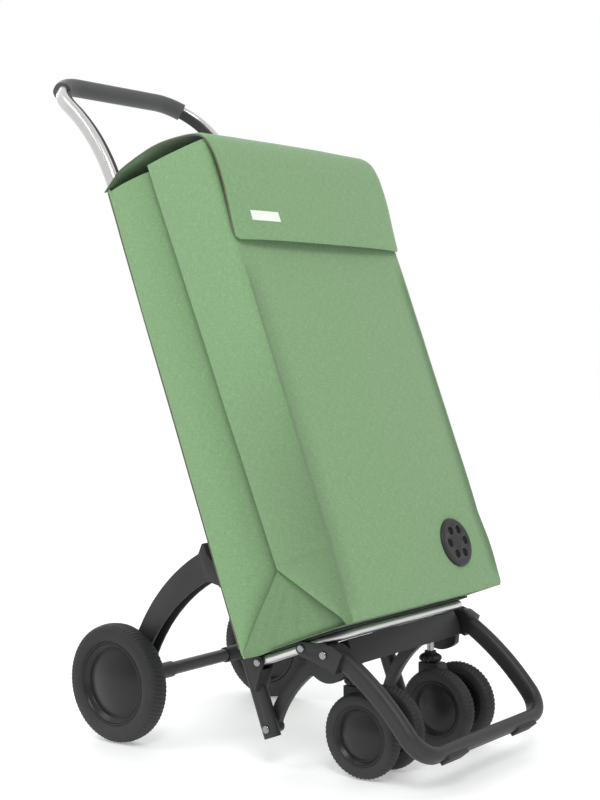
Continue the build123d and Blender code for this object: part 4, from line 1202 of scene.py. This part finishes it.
def area_light(name, place, target, size, power):
    """A square soft light that looks at a point."""
    data = bpy.data.lights.new(name, "AREA")
    data.size = size
    data.energy = power
    light = bpy.data.objects.new(name, data)
    light.location = place
    light.rotation_euler = (Vector(target) - Vector(place)).to_track_quat("-Z", "Y").to_euler()
    bpy.context.scene.collection.objects.link(light)


def studio_light(tree):
    """White all round, dimmer behind the camera and low down, so that gloss shows its shape."""
    place = tree.nodes.new("ShaderNodeTexCoord").outputs["Generated"]
    dot = add(tree, "ShaderNodeVectorMath", {0: place, 1: (0.70, 0.70, 0.12)}, operation="DOT_PRODUCT")
    ends = {"From Min": -0.9, "From Max": 0.35, "To Min": 0.42, "To Max": 1.0}
    made = add(tree, "ShaderNodeMapRange", {"Value": dot.outputs["Value"], **ends})
    background = tree.nodes["Background"]
    background.inputs["Color"].default_value = (1, 1, 1, 1)
    tree.links.new(made.outputs["Result"], background.inputs["Strength"])


class TROLLEY_OT_stage(bpy.types.Operator):
    """Sets the pale floor, the soft lights and the camera"""

    bl_idname = "trolley.stage"
    bl_label = "Stage"

    def execute(self, context):
        bpy.ops.object.select_all(action="DESELECT")
        bpy.ops.mesh.primitive_plane_add(size=FLOOR_SIZE, location=(0, 0, 0))
        floor = context.object
        floor.name = "floor"
        material, _, shader, _ = start_material("pale floor", Roughness=0.55, Specular_IOR_Level=0.3)
        shader.inputs["Base Color"].default_value = (0.80, 0.805, 0.815, 1)
        shader.inputs["Emission Color"].default_value = (1.0, 1.0, 1.0, 1)
        shader.inputs["Emission Strength"].default_value = 0.3
        floor.data.materials.append(material)
        world = bpy.data.worlds.new("studio")
        world.use_nodes = True
        studio_light(world.node_tree)
        context.scene.world = world
        context.scene.view_settings.view_transform = "Standard"
        area_light("key", (-1.9, -1.7, 2.7), (0, 0, 0.6), 1.2, 46)
        area_light("side", (-1.8, 1.2, 2.3), (0, 0, 0.7), 1.0, 12)
        area_light("back", (1.2, 2.6, 2.4), (0, 0, 0.6), 1.8, 22)
        aim_camera()
        return {"FINISHED"}


# ---- add-on ------------------------------------------------------------------------------------

STEPS = (
    TROLLEY_OT_stage, TROLLEY_OT_finishes, TROLLEY_OT_bag, TROLLEY_OT_flap, TROLLEY_OT_label,
    TROLLEY_OT_sewing, TROLLEY_OT_wheels, TROLLEY_OT_mouldings, TROLLEY_OT_collars,
)


class TROLLEY_PT_panel(bpy.types.Panel):
    """Lists the steps that build the trolley's looks"""

    bl_idname = "TROLLEY_PT_panel"
    bl_label = "Shopping trolley"
    bl_space_type = "VIEW_3D"
    bl_region_type = "UI"
    bl_category = "Trolley"

    def draw(self, context):
        for step in STEPS:
            self.layout.operator(step.bl_idname)
        for group in (context.scene.trolley_cloth, context.scene.trolley_wheels, context.scene.trolley_hard):
            for name in group.__annotations__:
                self.layout.prop(group, name)


CLASSES = (TrolleyCloth, TrolleyWheels, TrolleyHard, *STEPS, TROLLEY_PT_panel)


def register():
    """Registers the classes and their settings."""
    for made in CLASSES:
        bpy.utils.register_class(made)
    bpy.types.Scene.trolley_cloth = PointerProperty(type=TrolleyCloth)
    bpy.types.Scene.trolley_wheels = PointerProperty(type=TrolleyWheels)
    bpy.types.Scene.trolley_hard = PointerProperty(type=TrolleyHard)


def unregister():
    """Takes the classes and settings away again."""
    del bpy.types.Scene.trolley_hard, bpy.types.Scene.trolley_wheels, bpy.types.Scene.trolley_cloth
    for made in reversed(CLASSES):
        bpy.utils.unregister_class(made)


def main():
    """Builds everything in order."""
    register()
    scene = bpy.context.scene
    FINISHES.update(make_finishes(scene.trolley_cloth, scene.trolley_wheels, scene.trolley_hard))
    for step in STEPS:
        family, name = step.bl_idname.split(".")
        getattr(getattr(bpy.ops, family), name)()


if __name__ == "__main__":
    main()
